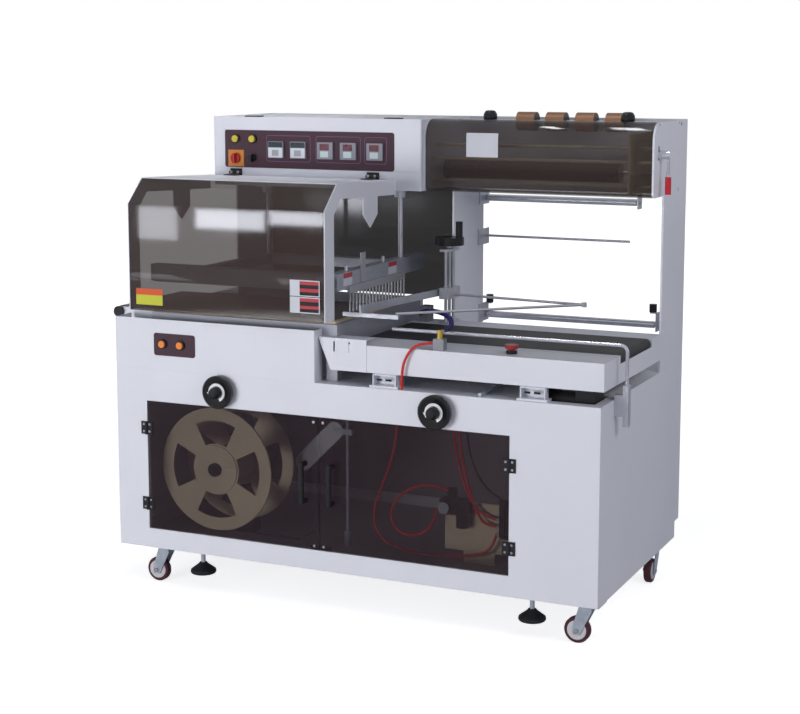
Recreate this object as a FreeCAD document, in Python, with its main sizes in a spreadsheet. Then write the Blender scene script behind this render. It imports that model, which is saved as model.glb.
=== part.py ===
"""Side sealer: an automatic L-bar shrink film sealing machine, modelled in millimetres.

The sizes below are written in the machine's own frame: X from the cabinet's left side, Y from its
front face towards the back, Z from the floor. Every piece is then moved by the same two offsets,
so that the origin lies on the floor in the middle of the machine's outline.
"""
import FreeCAD, Part
import math
import os
import re

import Sketcher
from FreeCAD import Placement, Rotation, Vector

doc = FreeCAD.newDocument("side_sealer")
sheet = doc.addObject("Spreadsheet::Sheet", "Sizes")

SIZES = {
    # cabinet
    "cabinet_width": 1560, "cabinet_depth": 785, "cabinet_height": 565, "floor_gap": 120,
    "skin": 2, "base_angle": 3, "base_upstand": 40, "base_flange": 100, "floor_plate": 2,
    "frame_angle": 4, "frame_leg": 25, "corner_leg": 30, "rear_rail_height": 330,
    "window_left": 108, "window_right_margin": 263, "window_low": 61, "window_top_margin": 101,
    "window_return": 12, "deck_hole_left": 170, "deck_hole_inset": 98,
    "deck_hole_front": 120, "deck_hole_back": 540,
    "louvre_width": 150, "louvre_height": 8, "louvre_pitch": 26, "louvre_start": 300,
    # doors
    "door_thickness": 5, "door_gap": 1.5, "door_split": 700, "door_proud": 0.3,
    "hinge_leaf": 19, "hinge_height": 40, "hinge_plate": 3, "hinge_knuckle": 4.5, "hinge_pin": 2,
    "hinge_low_rise": 80, "hinge_high_drop": 85, "handle_radius": 8, "handle_reach": 34,
    "handle_span": 112, "handle_height": 266, "handle_inset": 45, "catch_length": 30,
    "catch_height": 10, "catch_depth": 12,
    # casters and feet
    "wheel_radius": 38, "wheel_width": 26, "caster_trail": 28, "axle_radius": 5,
    "fork_plate": 3, "fork_gap": 2, "fork_leg": 34, "race_radius": 24, "race_height": 9,
    "stem_radius": 7, "caster_plate": 4, "caster_plate_length": 88, "caster_plate_width": 72,
    "caster_left": 137, "caster_right_inset": 45, "caster_front": 52, "caster_back_inset": 85,
    "foot_radius": 40, "foot_height": 34, "foot_lift": 42, "foot_stud": 7,
    "foot_left": 264, "foot_right_inset": 212, "foot_front": 60, "foot_back_inset": 60,
    # seal housing and lower jaw
    "housing_width": 688, "housing_height": 154, "housing_return": 50, "housing_cover_depth": 185,
    "jaw_left": 100, "jaw_reach": 50, "jaw_front": 50, "jaw_width": 36, "jaw_tail": 116,
    "lower_jaw_height": 72, "jaw_stand_height": 95, "strip_width": 12, "strip_height": 8,
    "button_plate_left": 139, "button_plate_right": 284, "button_plate_low": 43,
    "button_plate_high": 112, "button_plate_round": 8, "plate_thickness": 2,
    "orange_button_left": 171, "orange_button_right": 234, "orange_button_height": 79,
    # outfeed conveyor
    "outfeed_overhang": 67, "outfeed_jaw_gap": 78, "outfeed_front": 100, "outfeed_back": 480,
    "outfeed_level": 153, "outfeed_plate": 4, "outfeed_plate_height": 57, "roller_radius": 15,
    "belt_thickness": 2, "belt_gap": 0.3, "belt_margin": 6, "bed_thickness": 2, "bed_gap": 0.3,
    "end_disc_radius": 17, "end_disc_width": 10, "cross_width": 38,
    # infeed conveyor
    "infeed_front": 25, "infeed_lift": 38, "infeed_height": 79,
    "infeed_jaw_gap": 32, "front_rail_depth": 147, "rear_rail_depth": 96, "nose_margin": 1,
    "infeed_roller_inset": 19, "belt_side_gap": 4, "end_plate_dip": 24,
    "scale_width": 106, "scale_rise": 16, "scale_foot": 40, "scale_depth": 55,
    "scale_slot_width": 5, "scale_slot_height": 30, "scale_slot_start": 2, "scale_slot_pitch": 49,
    "bracket_left_inset": 136, "bracket_right_inset": 202, "bracket_width": 74, "bracket_base": 90,
    "bracket_plate": 6, "bracket_depth": 30, "bracket_front": 14,
    "motor_width": 85, "motor_right_inset": 35, "motor_front": 50, "motor_depth": 90,
    "motor_height": 79, "motor_plate": 4, "motor_radius": 36, "motor_length": 110,
    # posts and upper structure
    "post_overhang": 44, "post_width": 250, "post_plate": 6, "post_flange": 40, "post_foot": 172,
    "left_post": 97, "middle_post": 885, "head_clearance": 533, "head_height": 220,
    "control_right": 831, "control_depth": 384, "hood_depth": 130, "hood_low": 57,
    "film_depth": 362, "film_plate": 4, "film_top_round": 55, "film_bottom_round": 14,
    "cover_thickness": 4, "cover_return": 93, "smoke_thickness": 5, "cover_knob": 21.5,
    "cover_knob_height": 28, "cover_knob_left": 1022, "cover_knob_inset": 102, "cover_knob_depth": 68,
    "bearing_inset": 78, "bearing_plate": 6, "bearing_front": 12, "bearing_drop": 36,
    "panel_left": 137, "panel_right": 740, "panel_low": 58, "panel_high": 178,
    "panel_round": 8, "panel_thickness": 1.5, "meter_width": 55, "meter_height": 53,
    "meter_low": 91, "meter_depth": 8, "meter_1": 299, "meter_2": 379, "meter_3": 475,
    "meter_4": 556, "meter_5": 648, "yellow_button_left": 178, "yellow_button_right": 240,
    "yellow_button_height": 150, "switch_plate_left": 150, "switch_plate_width": 58,
    "switch_plate_low": 61, "switch_plate_height": 53, "selector_place": 240,
    "selector_height": 89,
    # push buttons and knobs
    "button_cap": 11, "button_stem": 8, "button_reach": 10, "button_travel": 3, "bezel_width": 4,
    "bezel_depth": 6, "cap_gap": 0.3, "switch_knob": 16, "selector_knob": 12, "knob_depth": 20,
    "knob_bar": 8, "fit_gap": 0.05,
    "stop_inset": 288, "stop_depth": 77, "stop_radius": 20, "stop_base": 16, "stop_rise": 10,
    "stop_neck": 9, "stop_travel": 4, "stop_cap": 12,
    # guard
    "guard_left": 80, "guard_side_gap": 7, "guard_front": 40, "guard_low": 31, "guard_leg": 59,
    "guard_fold_drop": 74, "guard_corner": 80, "guard_rise": 47, "guard_beam": 45,
    "guard_rear_gap": 5, "guard_slope": 15, "guard_sheet": 3, "shield_thickness": 4,
    "tab_front": 214, "tab_back": 313, "tab_drop": 53, "tab_point": 93,
    "guard_hinge_left": 157, "guard_hinge_inset": 99, "guard_hinge_width": 42,
    "guard_hinge_rise": 42, "guard_hinge_reach": 8, "guard_knuckle": 5,
    # upper jaw
    "jaw_open": 90, "upper_jaw_height": 50, "knife_height": 5, "knife_width": 6,
    "upper_jaw_tail": 33, "jaw_rod": 8, "jaw_rod_left": 245, "jaw_rod_inset": 18,
    "jaw_rod_setback": 89, "jaw_rod_rise": 82, "cylinder_radius": 20, "cylinder_drop": 28,
    "cylinder_rise": 94, "comb_front": 118, "comb_back": 513, "comb_thickness": 4,
    "comb_clearance": 78, "finger_width": 5, "comb_rail": 14, "jaw_travel_gap": 0.3,
    # film rollers and guides
    "feed_radius": 30, "feed_setback": 133, "feed_height": 63, "feed_left": 850, "feed_right_inset": 140,
    "film_axle": 6, "tie_radius": 5, "support_inset": 69, "support_drop": 12,
    "support_radius": 30, "support_pitch": 98, "support_first_inset": 530, "support_width": 62,
    "rear_roller_gap": 21, "rear_roller_radius": 11, "upper_roller_drop": 46,
    "lower_roller_rise": 101, "upper_roller_inset": 164, "lower_roller_inset": 97,
    "ear_margin": 20, "bracket_sheet": 4, "rear_axle": 5, "guide_rod_drop": 172,
    "guide_rod_inset": 186, "guide_rod_radius": 4, "lever_setback": 53, "lever_rise": 125,
    "lever_hub": 13, "lever_reach": 34, "lever_length": 116, "lever_rod": 4, "grip_radius": 9,
    "grip_length": 52, "spindle_radius": 7, "star_radius": 12, "star_height": 26,
    # dials
    "dial_left": 372, "dial_right_inset": 482, "dial_drop": 50.5, "dial_radius": 50,
    "dial_reach": 56, "dial_shaft": 8,
    # scrap film reel
    "reel_place": 304, "reel_height": 370, "reel_radius": 192, "reel_front": 78, "reel_disc": 5,
    "reel_width": 150, "spool_radius": 60, "reel_shaft": 10, "reel_window_inner": 80,
    "reel_window_outer": 153, "reel_window_spread": 98, "reel_boss": 75, "reel_boss_height": 4,
    "reel_nut": 21, "reel_stand_width": 70, "reel_base_left": 54, "reel_base_right": 196,
    "reel_base_depth": 97, "reel_base": 4,
    "reel_stand_depth": 40, "reel_motor_radius": 38, "reel_motor_length": 110,
    "pull_rod_place": 665, "pull_rod_depth": 262, "pull_rod": 5, "pull_rod_nut": 12,
    "pull_rod_nut_height": 46, "arm_width": 56, "arm_plate": 5, "arm_low_place": 512, "arm_low_height": 375,
    "arm_high_place": 622, "arm_high_height": 484, "arm_collar": 18, "drop_rod_place": 1205,
    "drop_rod_front": 3, "drop_rod_back": 177, "drop_rod_radius": 6,
    # height column and film triangle
    "column_run": 120, "column_inset": 47, "column_pitch": 30, "column_rod": 5,
    "column_foot": 8, "column_rise": 226, "column_plate_width": 90, "column_plate_length": 30,
    "triangle_rise": 86, "slider_height": 35, "bar_height": 22, "bar_thickness": 5,
    "bar_front_run": 30, "cross_bar_depth": 80, "cross_bar_width": 12, "cross_bar_reach": 26,
    "cross_bar_run": 152, "triangle_rod": 4, "tip_inset": 211, "tip_reach": 50,
    "crank_radius": 45, "crank_height": 25, "crank_gap": 10, "grip_offset": 32,
    "crank_grip": 11, "crank_grip_height": 50,
    # product guide
    "side_reach": 40, "guide_block": 16, "guide_block_drop": 74, "guide_block_rise": 42,
    "guide_depth": 132, "guide_block_width": 25, "guide_rise": 36, "guide_rod": 5,
    "guide_left": 878, "guide_bend": 20, "guide_arm_drop": 45, "guide_arm_rise": 15,
    # air fittings
    "regulator_place": 1050, "regulator_front": 33, "regulator_width": 32,
    "regulator_depth": 26, "regulator_height": 33, "fitting_radius": 8, "fitting_height": 24,
    "nozzle_run": 30, "nozzle_inset": 74, "nozzle_width": 30, "nozzle_depth": 40,
    "nozzle_height": 50, "air_plate_left": 1002, "air_plate_right": 1280, "air_plate_depth": 240,
    "air_plate_low": 42, "air_plate_height": 193, "air_leg_width": 100, "filter_place": 1020,
    "filter_height": 182, "filter_length": 70, "filter_drop": 40, "filter_radius": 22, "gauge_radius": 18,
    "valve_left": 1190, "valve_width": 84, "valve_low": 100, "valve_height": 62,
    "coil_low": 10, "coil_rise": 60, "port_radius": 5, "port_length": 14, "port_pitch": 22,
    "red_hose_radius": 4, "blue_hose_radius": 8, "inner_hose_radius": 4,
}

for row, (alias, number) in enumerate(SIZES.items(), start=1):
    sheet.set("A%d" % row, alias)
    sheet.set("B%d" % row, str(number))
    sheet.setAlias("B%d" % row, alias)

# Places that follow from the sizes, each written once.
PLACES = {
    "cabinet_top": "floor_gap + cabinet_height",
    "floor_top": "floor_gap + base_angle + floor_plate",
    "deck_low": "cabinet_top - skin",
    "frame_inset": "skin + base_angle",
    "window_bottom": "floor_gap + window_low",
    "window_top": "floor_gap + window_high",
    "housing_top": "cabinet_top + housing_height",
    "head_low": "cabinet_top + head_clearance",
    "head_top": "head_low + head_height",
    "post_back": "post_front + post_width",
    "control_front": "post_back - control_depth",
    "film_front": "post_back - film_depth",
    "outfeed_top": "cabinet_top + outfeed_level + roller_radius + belt_gap",
    "outfeed_axis": "cabinet_top + outfeed_level",
    "outfeed_roller": "roller_radius + belt_gap + belt_thickness - outfeed_overhang",
    "infeed_low": "cabinet_top + infeed_lift",
    "infeed_top": "infeed_low + infeed_height",
    "infeed_axis": "infeed_top - roller_radius - belt_thickness",
    "infeed_roller": "cabinet_width - infeed_roller_inset",
    "belt_front": "infeed_front + front_rail_depth",
    "belt_back": "infeed_back - rear_rail_depth",
    "lower_jaw_low": "cabinet_top + jaw_stand_height",
    "lower_jaw_top": "lower_jaw_low + lower_jaw_height",
    "seal_line": "lower_jaw_top + strip_height",
    "upper_jaw_low": "seal_line + jaw_open",
    "upper_jaw_top": "upper_jaw_low + upper_jaw_height",
    "guard_bottom": "housing_top + guard_low",
    "guard_back": "control_front - guard_rear_gap",
    "guard_rear_top": "guard_top - guard_slope",
    "guard_axis_depth": "control_front - guard_hinge_reach",
    "guard_axis_height": "head_low + guard_hinge_rise",
    "dial_axis": "cabinet_top - dial_drop",
    "handle_middle": "floor_gap + handle_height",
    "window_right": "cabinet_width - window_right_margin",
    "window_high": "cabinet_height - window_top_margin",
    "hinge_low": "window_low + hinge_low_rise",
    "hinge_high": "window_high - hinge_high_drop",
    "caster_right": "cabinet_width - caster_right_inset",
    "caster_back": "cabinet_depth - caster_back_inset",
    "foot_right": "cabinet_width - foot_right_inset",
    "foot_back": "cabinet_depth - foot_back_inset",
    "housing_cover_front": "cabinet_depth - housing_cover_depth",
    "post_front": "cabinet_depth + post_overhang - post_width",
    "infeed_back": "post_front",
    "bracket_right": "cabinet_width - bracket_right_inset",
    "motor_right": "cabinet_width - motor_right_inset",
    "motor_left": "motor_right - motor_width",
    "stop_place": "cabinet_width - stop_inset",
    "guard_top": "head_low + guard_rise",
    "guard_fold": "guard_top - guard_fold_drop",
    "jaw_rod_depth": "control_front + jaw_rod_setback",
    "jaw_back": "jaw_rod_depth + jaw_tail",
    "upper_jaw_back": "jaw_back + upper_jaw_tail",
    "jaw_rod_top": "head_low + jaw_rod_rise",
    "cylinder_top": "head_low + cylinder_rise",
    "comb_low": "infeed_top + comb_clearance",
    "feed_depth": "film_front + feed_setback",
    "feed_right": "cabinet_width - feed_right_inset",
    "support_depth": "post_back - support_inset",
    "support_first": "cabinet_width - support_first_inset",
    "cover_knob_right": "cabinet_width - cover_knob_inset",
    "bearing_right": "cabinet_width - bearing_inset",
    "rear_roller_depth": "post_back + rear_roller_gap",
    "rear_reach": "rear_roller_depth + ear_margin",
    "upper_roller_height": "head_low - upper_roller_drop",
    "lower_roller_height": "cabinet_top + lower_roller_rise",
    "upper_roller_right": "cabinet_width - upper_roller_inset",
    "lower_roller_right": "cabinet_width - lower_roller_inset",
    "guide_rod_height": "head_low - guide_rod_drop",
    "guide_rod_right": "cabinet_width - guide_rod_inset",
    "lever_depth": "film_front + lever_setback",
    "lever_height": "head_low + lever_rise",
    "dial_right": "cabinet_width - dial_right_inset",
    "column_depth": "infeed_back - column_inset",
    "column_top": "infeed_top + column_rise",
    "triangle_level": "infeed_top + triangle_rise",
    "tip_place": "cabinet_width - tip_inset",
    "tip_depth": "column_depth - tip_reach",
    "nozzle_front": "infeed_back - nozzle_inset",
    "guide_block_low": "cabinet_top - guide_block_drop",
    "guide_block_high": "cabinet_top + guide_block_rise",
    "guide_arm_low": "cabinet_top - guide_arm_drop",
    "guide_arm_high": "cabinet_top + guide_arm_rise",
    "guide_height": "infeed_top + guide_rise",
    "jaw_right": "housing_width + jaw_reach",
    "jaw_rod_right": "jaw_right - jaw_rod_inset",
    "guard_right": "jaw_right + guard_side_gap",
    "guard_hinge_right": "guard_right - guard_hinge_inset",
    "outfeed_right": "jaw_right - outfeed_jaw_gap",
    "deck_hole_right": "jaw_right - deck_hole_inset",
    "infeed_left": "jaw_right + infeed_jaw_gap",
    "infeed_nose": "infeed_left + roller_radius + nose_margin",
    "bracket_left": "infeed_left + bracket_left_inset",
    "scale_right": "jaw_right + scale_width",
    "scale_slot_left": "jaw_right + scale_slot_start",
    "scale_slot_right": "scale_slot_left + scale_slot_pitch",
    "column_place": "infeed_left + column_run",
    "bar_front_place": "infeed_left + bar_front_run",
    "cross_bar_left": "infeed_left - cross_bar_reach",
    "cross_bar_right": "infeed_left + cross_bar_run",
    "nozzle_place": "infeed_left + nozzle_run",
    "origin_x": "(cabinet_width + side_reach - outfeed_overhang) / 2",
    "origin_y": "(rear_reach - dial_reach) / 2",
}


def bind(text):
    """Write an expression on the named sizes and places out in full."""
    def spell(match):
        word = match.group(0)
        if word in PLACES:
            return "(" + bind(PLACES[word]) + ")"
        if word in SIZES:
            return "Sizes." + word
        return word
    return re.sub(r"[a-z]\w*", spell, str(text))


def value(text):
    """The number that an expression comes to."""
    return float(sheet.evalExpression(bind(text)))


def less(a, b):
    return "(%s) - (%s)" % (a, b)


def plus(a, b):
    return "(%s) + (%s)" % (a, b)


doc.recompute()
MACHINE = ("origin_x", "origin_y")
LOCAL = ("0", "0")
TURNS = {
    "x": Rotation(Vector(0, 1, 0), 90),
    "y": Rotation(Vector(1, 0, 0), -90),
    "z": Rotation(),
}
PLANES = {"x": "YZ_Plane", "y": "XZ_Plane", "z": "XY_Plane"}
NODES = []


def put(item, x, y, z, frame):
    """Bind an object's place to expressions, less the offset of its frame."""
    for axis, text in zip("xyz", (less(x, frame[0]), less(y, frame[1]), z)):
        item.setExpression("Placement.Base." + axis, bind(text))
    return item


def block(name, x, y, z, frame=MACHINE):
    """A box between two levels on each axis."""
    item = doc.addObject("Part::Box", name)
    for size, (low, high) in zip(("Length", "Width", "Height"), (x, y, z)):
        item.setExpression(size, bind(less(high, low)))
    return put(item, x[0], y[0], z[0], frame)


def rod(name, axis, radius, span, a, b, frame=MACHINE):
    """A cylinder along an axis; a and b are its place on the other two axes, in X, Y, Z order."""
    item = doc.addObject("Part::Cylinder", name)
    item.Placement = Placement(Vector(), TURNS[axis])
    item.setExpression("Radius", bind(radius))
    item.setExpression("Height", bind(less(span[1], span[0])))
    spot = {"x": (span[0], a, b), "y": (a, span[0], b), "z": (a, b, span[0])}[axis]
    return put(item, *spot, frame)


def ball(name, radius, x, y, z, frame=MACHINE):
    item = doc.addObject("Part::Sphere", name)
    item.setExpression("Radius", bind(radius))
    return put(item, x, y, z, frame)


def fuse(name, pieces, refine=True):
    item = doc.addObject("Part::MultiFuse", name)
    item.Shapes = pieces
    item.Refine = refine
    return item


def cut(name, base, tools, refine=True):
    item = doc.addObject("Part::Cut", name)
    item.Base = base
    item.Tool = tools[0] if len(tools) == 1 else fuse(name + "_tools", tools)
    item.Refine = refine
    return item


def group(name, pieces):
    """Separate solids that share one node."""
    item = doc.addObject("Part::Compound", name)
    item.Links = pieces
    return item


def node(name, item):
    """Name the finished sub-part; its Label names its file."""
    item.Label = name
    NODES.append(item)
    return item


def draw_ring(sketch, points):
    """A closed outline of straight lines, every corner bound to the sheet."""
    corners = [Vector(value(x), value(y), 0) for x, y in points]
    first = sketch.GeometryCount
    count = len(corners)
    for index, corner in enumerate(corners):
        sketch.addGeometry(Part.LineSegment(corner, corners[(index + 1) % count]), False)
    for index in range(count):
        joint = Sketcher.Constraint("Coincident", first + index, 2, first + (index + 1) % count, 1)
        sketch.addConstraint(joint)
    for index, texts in enumerate(points):
        for kind, text in zip(("DistanceX", "DistanceY"), texts):
            limit = Sketcher.Constraint(kind, -1, 1, first + index, 1, value(text))
            number = sketch.addConstraint(limit)
            sketch.setExpression("Constraints[%d]" % number, bind(text))


def draw_circle(sketch, x, y, radius):
    """A circle bound to the sheet by its centre and its radius."""
    ring = Part.Circle(Vector(value(x), value(y), 0), Vector(0, 0, 1), value(radius))
    index = sketch.addGeometry(ring, False)
    for kind, text in (("DistanceX", x), ("DistanceY", y)):
        number = sketch.addConstraint(Sketcher.Constraint(kind, -1, 1, index, 3, value(text)))
        sketch.setExpression("Constraints[%d]" % number, bind(text))
    number = sketch.addConstraint(Sketcher.Constraint("Radius", index, value(radius)))
    sketch.setExpression("Constraints[%d]" % number, bind(radius))


def new_body(name, frame):
    body = doc.addObject("PartDesign::Body", name)
    return put(body, "0", "0", "0", frame)


def add_sketch(body, axis, level, rings, circles=()):
    """A sketch square to an axis, on the body's own origin plane, at a level along it."""
    sketch = body.newObject("Sketcher::SketchObject", body.Name + "_sketch")
    plane = next(item for item in body.Origin.OriginFeatures if item.Role == PLANES[axis])
    sketch.AttachmentSupport = [(plane, "")]
    sketch.MapMode = "FlatFace"
    offset = "-(%s)" % level if axis == "y" else level
    sketch.setExpression("AttachmentOffset.Base.z", bind(offset))
    for ring in rings:
        draw_ring(sketch, ring)
    for circle in circles:
        draw_circle(sketch, *circle)
    return sketch


def add_pad(body, axis, span, rings, circles=()):
    """Pad an outline between two levels of an axis. Square to Y the pad runs towards the front."""
    start = span[1] if axis == "y" else span[0]
    sketch = add_sketch(body, axis, start, rings, circles)
    pad = body.newObject("PartDesign::Pad", body.Name + "_pad")
    pad.Profile = sketch
    pad.setExpression("Length", bind(less(span[1], span[0])))
    body.Tip = pad
    return pad


def profile(name, axis, span, rings, circles=(), frame=MACHINE):
    body = new_body(name, frame)
    add_pad(body, axis, span, rings, circles)
    return body


def round_corners(body, axis, spots, radius):
    """Round the edges that run along an axis through the named corners of the outline."""
    doc.recompute()
    along = "xyz".index(axis)
    across = [index for index in range(3) if index != along]
    wanted = [(value(a), value(b)) for a, b in spots]
    base = body.Tip
    names = []
    for number, edge in enumerate(base.Shape.Edges, start=1):
        ends = [vertex.Point for vertex in edge.Vertexes]
        if len(ends) < 2 or abs(ends[0][along] - ends[1][along]) < 0.5:
            continue
        places = [(end[across[0]], end[across[1]]) for end in ends]
        if all(min(math.dist(place, spot) for spot in wanted) < 0.01 for place in places):
            names.append("Edge%d" % number)
    fillet = body.newObject("PartDesign::Fillet", body.Name + "_fillet")
    fillet.Base = (base, names)
    fillet.setExpression("Radius", bind(radius))
    body.Tip = fillet
    return body


def turned(name, outline, frame=MACHINE, axis="z", x="0", y="0", z="0"):
    """A body turned from an outline of (radius, height) points about its own upright axis."""
    body = doc.addObject("PartDesign::Body", name)
    body.Placement = Placement(Vector(), TURNS[axis])
    put(body, x, y, z, frame)
    sketch = add_sketch(body, "y", "0", [outline])
    turn = body.newObject("PartDesign::Revolution", name + "_turn")
    turn.Profile = sketch
    turn.ReferenceAxis = (sketch, ["V_Axis"])
    turn.Angle = 360
    body.Tip = turn
    return body


def rectangle(left, right, low, high):
    return [(left, low), (right, low), (right, high), (left, high)]


def belt(name, left, right, y, height, inner):
    """An endless flat belt round two ends of one radius."""
    outer = plus(inner, "belt_thickness")
    loops = []
    for part, radius in (("outer", outer), ("inner", inner)):
        y_span = y if part == "outer" else (less(y[0], "1"), plus(y[1], "1"))
        run = block(name + "_" + part, (left, right), y_span, (less(height, radius), plus(height, radius)))
        ends = [rod(name + "_" + part + side, "y", radius, y_span, place, height)
                for side, place in (("_left", left), ("_right", right))]
        loops.append(fuse(name + "_" + part + "_loop", [run] + ends))
    return cut(name, loops[0], [loops[1]])


def push_button(name, x, z, face):
    """A round push button that faces the front: its cap in front of the face, its stem behind."""
    front = less(face, "button_reach")
    seat = less(face, plus("button_travel", "cap_gap"))
    cap = rod(name + "_cap", "y", "button_cap", (front, seat), x, z)
    stem = rod(name + "_stem", "y", "button_stem", (seat, plus(face, "12")), x, z)
    return node(name, fuse(name + "_body", [cap, stem]))


def bezel(name, x, z, face):
    """The ring round a push button."""
    outside = "button_cap + cap_gap + bezel_width"
    ring = rod(name + "_outside", "y", outside, (less(face, "bezel_depth"), face), x, z)
    hole = rod(name + "_hole", "y", "button_cap + cap_gap", (less(face, "bezel_depth + 1"), plus(face, "1")), x, z)
    return cut(name, ring, [hole])


# Base frame: angle iron ring with a wide bottom flange, the floor plate on it and the four plates
# that the casters turn in.
def build_base_frame():
    inner = ("skin", less("cabinet_width", "skin"), "skin", less("cabinet_depth", "skin"))
    ring = new_body("base_ring", MACHINE)

    def inset(amount):
        return rectangle(plus(inner[0], amount), less(inner[1], amount),
                         plus(inner[2], amount), less(inner[3], amount))
    add_pad(ring, "z", ("floor_gap", "floor_gap + base_upstand"), [rectangle(*inner), inset("base_angle")])
    add_pad(ring, "z", ("floor_gap", "floor_gap + base_angle"), [rectangle(*inner), inset("base_flange")])
    plate = block("floor_sheet", ("frame_inset", "cabinet_width - frame_inset"),
                  ("frame_inset", "cabinet_depth - frame_inset"), ("floor_gap + base_angle", "floor_top"))
    pieces = [ring, plate]
    for name, x, y, _turn in CASTERS:
        half_length = "caster_plate_length / 2"
        half_width = "caster_plate_width / 2"
        if _turn == 90:
            half_length, half_width = half_width, half_length
        slab = block(name + "_slab", (less(x, half_length), plus(x, half_length)),
                     (less(y, half_width), plus(y, half_width)), ("floor_gap - caster_plate", "floor_gap"))
        hole = rod(name + "_stem_hole", "z", "stem_radius + fit_gap", ("floor_gap - caster_plate - 1", "floor_gap + 1"), x, y)
        pieces.append(cut(name + "_plate", slab, [hole]))
    node("base_frame", group("base_frame_group", pieces))


# Inner frame: upright angles at the corners, an angle ring under the deck and a rail at the back.
def build_inner_frame():
    left, right = "frame_inset", "cabinet_width - frame_inset"
    front, back = "frame_inset", "cabinet_depth - frame_inset"
    ring = new_body("deck_ring", MACHINE)

    def inset(amount):
        return rectangle(plus(left, amount), less(right, amount), plus(front, amount), less(back, amount))
    outline = rectangle(left, right, front, back)
    add_pad(ring, "z", (less("deck_low", "corner_leg"), "deck_low"), [outline, inset("frame_angle")])
    add_pad(ring, "z", (less("deck_low", "frame_angle"), "deck_low"), [outline, inset("frame_leg")])
    pieces = [ring]
    for side_x, x, toward_x in (("left", left, 1), ("right", right, -1)):
        for side_y, y, toward_y in (("front", front, 1), ("back", back, -1)):
            def along_x(amount, x=x, toward_x=toward_x):
                return "%s + (%d) * (%s)" % (x, toward_x, amount)

            def along_y(amount, y=y, toward_y=toward_y):
                return "%s + (%d) * (%s)" % (y, toward_y, amount)
            outline = [(x, y), (along_x("corner_leg"), y), (along_x("corner_leg"), along_y("frame_angle")),
                       (along_x("frame_angle"), along_y("frame_angle")),
                       (along_x("frame_angle"), along_y("corner_leg")), (x, along_y("corner_leg"))]
            pieces.append(profile("corner_%s_%s" % (side_x, side_y), "z", ("floor_top", "deck_low"), [outline]))
    pieces.append(block("rear_rail", (left, right), (less(back, "frame_angle"), back),
                        ("floor_gap + rear_rail_height", "floor_gap + rear_rail_height + corner_leg")))
    pieces.append(build_pull_rod())
    node("inner_frame", fuse("inner_frame_body", pieces))


def build_pull_rod():
    """The upright rod in the left bay with its nut, and the arm that it carries by a collar."""
    x, y = "pull_rod_place", "pull_rod_depth"
    upright = rod("pull_rod", "z", "pull_rod", ("floor_top", "deck_low"), x, y)
    nut = rod("pull_rod_nut", "z", "pull_rod_nut", ("floor_top", "floor_top + pull_rod_nut_height"), x, y)
    half = "arm_width / 2"
    y_span = (less(y, "arm_plate / 2"), plus(y, "arm_plate / 2"))
    ends = (("arm_low_place", "arm_low_height"), ("arm_high_place", "arm_high_height"))
    run = "sqrt((arm_high_place - arm_low_place) ^ 2 + (arm_high_height - arm_low_height) ^ 2)"
    side_x = "(%s) * (arm_high_height - arm_low_height) / %s" % (half, run)
    side_z = "(%s) * (arm_high_place - arm_low_place) / %s" % (half, run)
    outline = [(less(ends[0][0], side_x), plus(ends[0][1], side_z)), (plus(ends[0][0], side_x), less(ends[0][1], side_z)),
               (plus(ends[1][0], side_x), less(ends[1][1], side_z)), (less(ends[1][0], side_x), plus(ends[1][1], side_z))]
    parts = [profile("arm_plate_body", "y", y_span, [outline])]
    parts += [rod("arm_end_%d" % n, "y", half, y_span, a, b) for n, (a, b) in enumerate(ends)]
    collar = block("arm_collar", ("arm_high_place", plus(x, "arm_collar")), (less(y, "arm_collar / 2"), plus(y, "arm_collar / 2")),
                   ("arm_high_height - arm_collar / 2", "arm_high_height + arm_collar / 2"))
    return fuse("pull_rod_body", parts + [upright, nut, collar])


# Front panel with the window that the two doors fill, its turned edge and the bores of the dials.
def build_front_panel():
    body = new_body("front_sheet", MACHINE)
    outside = rectangle("0", "cabinet_width", "floor_gap", "cabinet_top")
    window = rectangle("window_left", "window_right", "window_bottom", "window_top")
    bores = [("dial_left", "dial_axis", "dial_shaft + fit_gap"), ("dial_right", "dial_axis", "dial_shaft + fit_gap")]
    add_pad(body, "y", ("0", "skin"), [outside, window], bores)
    edge = rectangle("window_left - skin", "window_right + skin", "window_bottom - skin", "window_top + skin")
    add_pad(body, "y", ("0", "skin + window_return"), [edge, window])
    node("front_panel", body)


# Side, rear and deck panels: four folded sheets that close the cabinet.
def build_cabinet_panels():
    depth = ("skin", "cabinet_depth")
    height = ("floor_gap", "cabinet_top")
    left = block("left_sheet", ("0", "skin"), depth, height)
    right = block("right_sheet", ("cabinet_width - skin", "cabinet_width"), depth, height)
    inside_x = ("skin", "cabinet_width - skin")
    rear_blank = block("rear_blank", inside_x, ("cabinet_depth - skin", "cabinet_depth"), height)
    slots = []
    for column, place in enumerate(("cabinet_width / 4", "cabinet_width * 3 / 4")):
        for step in range(6):
            low = "floor_gap + louvre_start + louvre_pitch * %d" % step
            slots.append(block("louvre_%d_%d" % (column, step),
                               (less(place, "louvre_width / 2"), plus(place, "louvre_width / 2")),
                               ("cabinet_depth - skin - 1", "cabinet_depth + 1"), (low, plus(low, "louvre_height"))))
    rear = cut("rear_sheet", rear_blank, slots)
    deck = new_body("deck_sheet", MACHINE)
    deck_outline = rectangle("skin", "cabinet_width - skin", "skin", "cabinet_depth - skin")
    jaw_hole = rectangle("deck_hole_left", "deck_hole_right", "deck_hole_front", "deck_hole_back")
    motor_hole = rectangle("motor_left - motor_length - 10", "motor_right + 5", "motor_front - 12", "motor_front + motor_depth + 30")
    add_pad(deck, "z", ("deck_low", "cabinet_top"), [deck_outline, jaw_hole, motor_hole])
    node("cabinet_panels", group("cabinet_panels_group", [left, right, rear, deck]))


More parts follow.
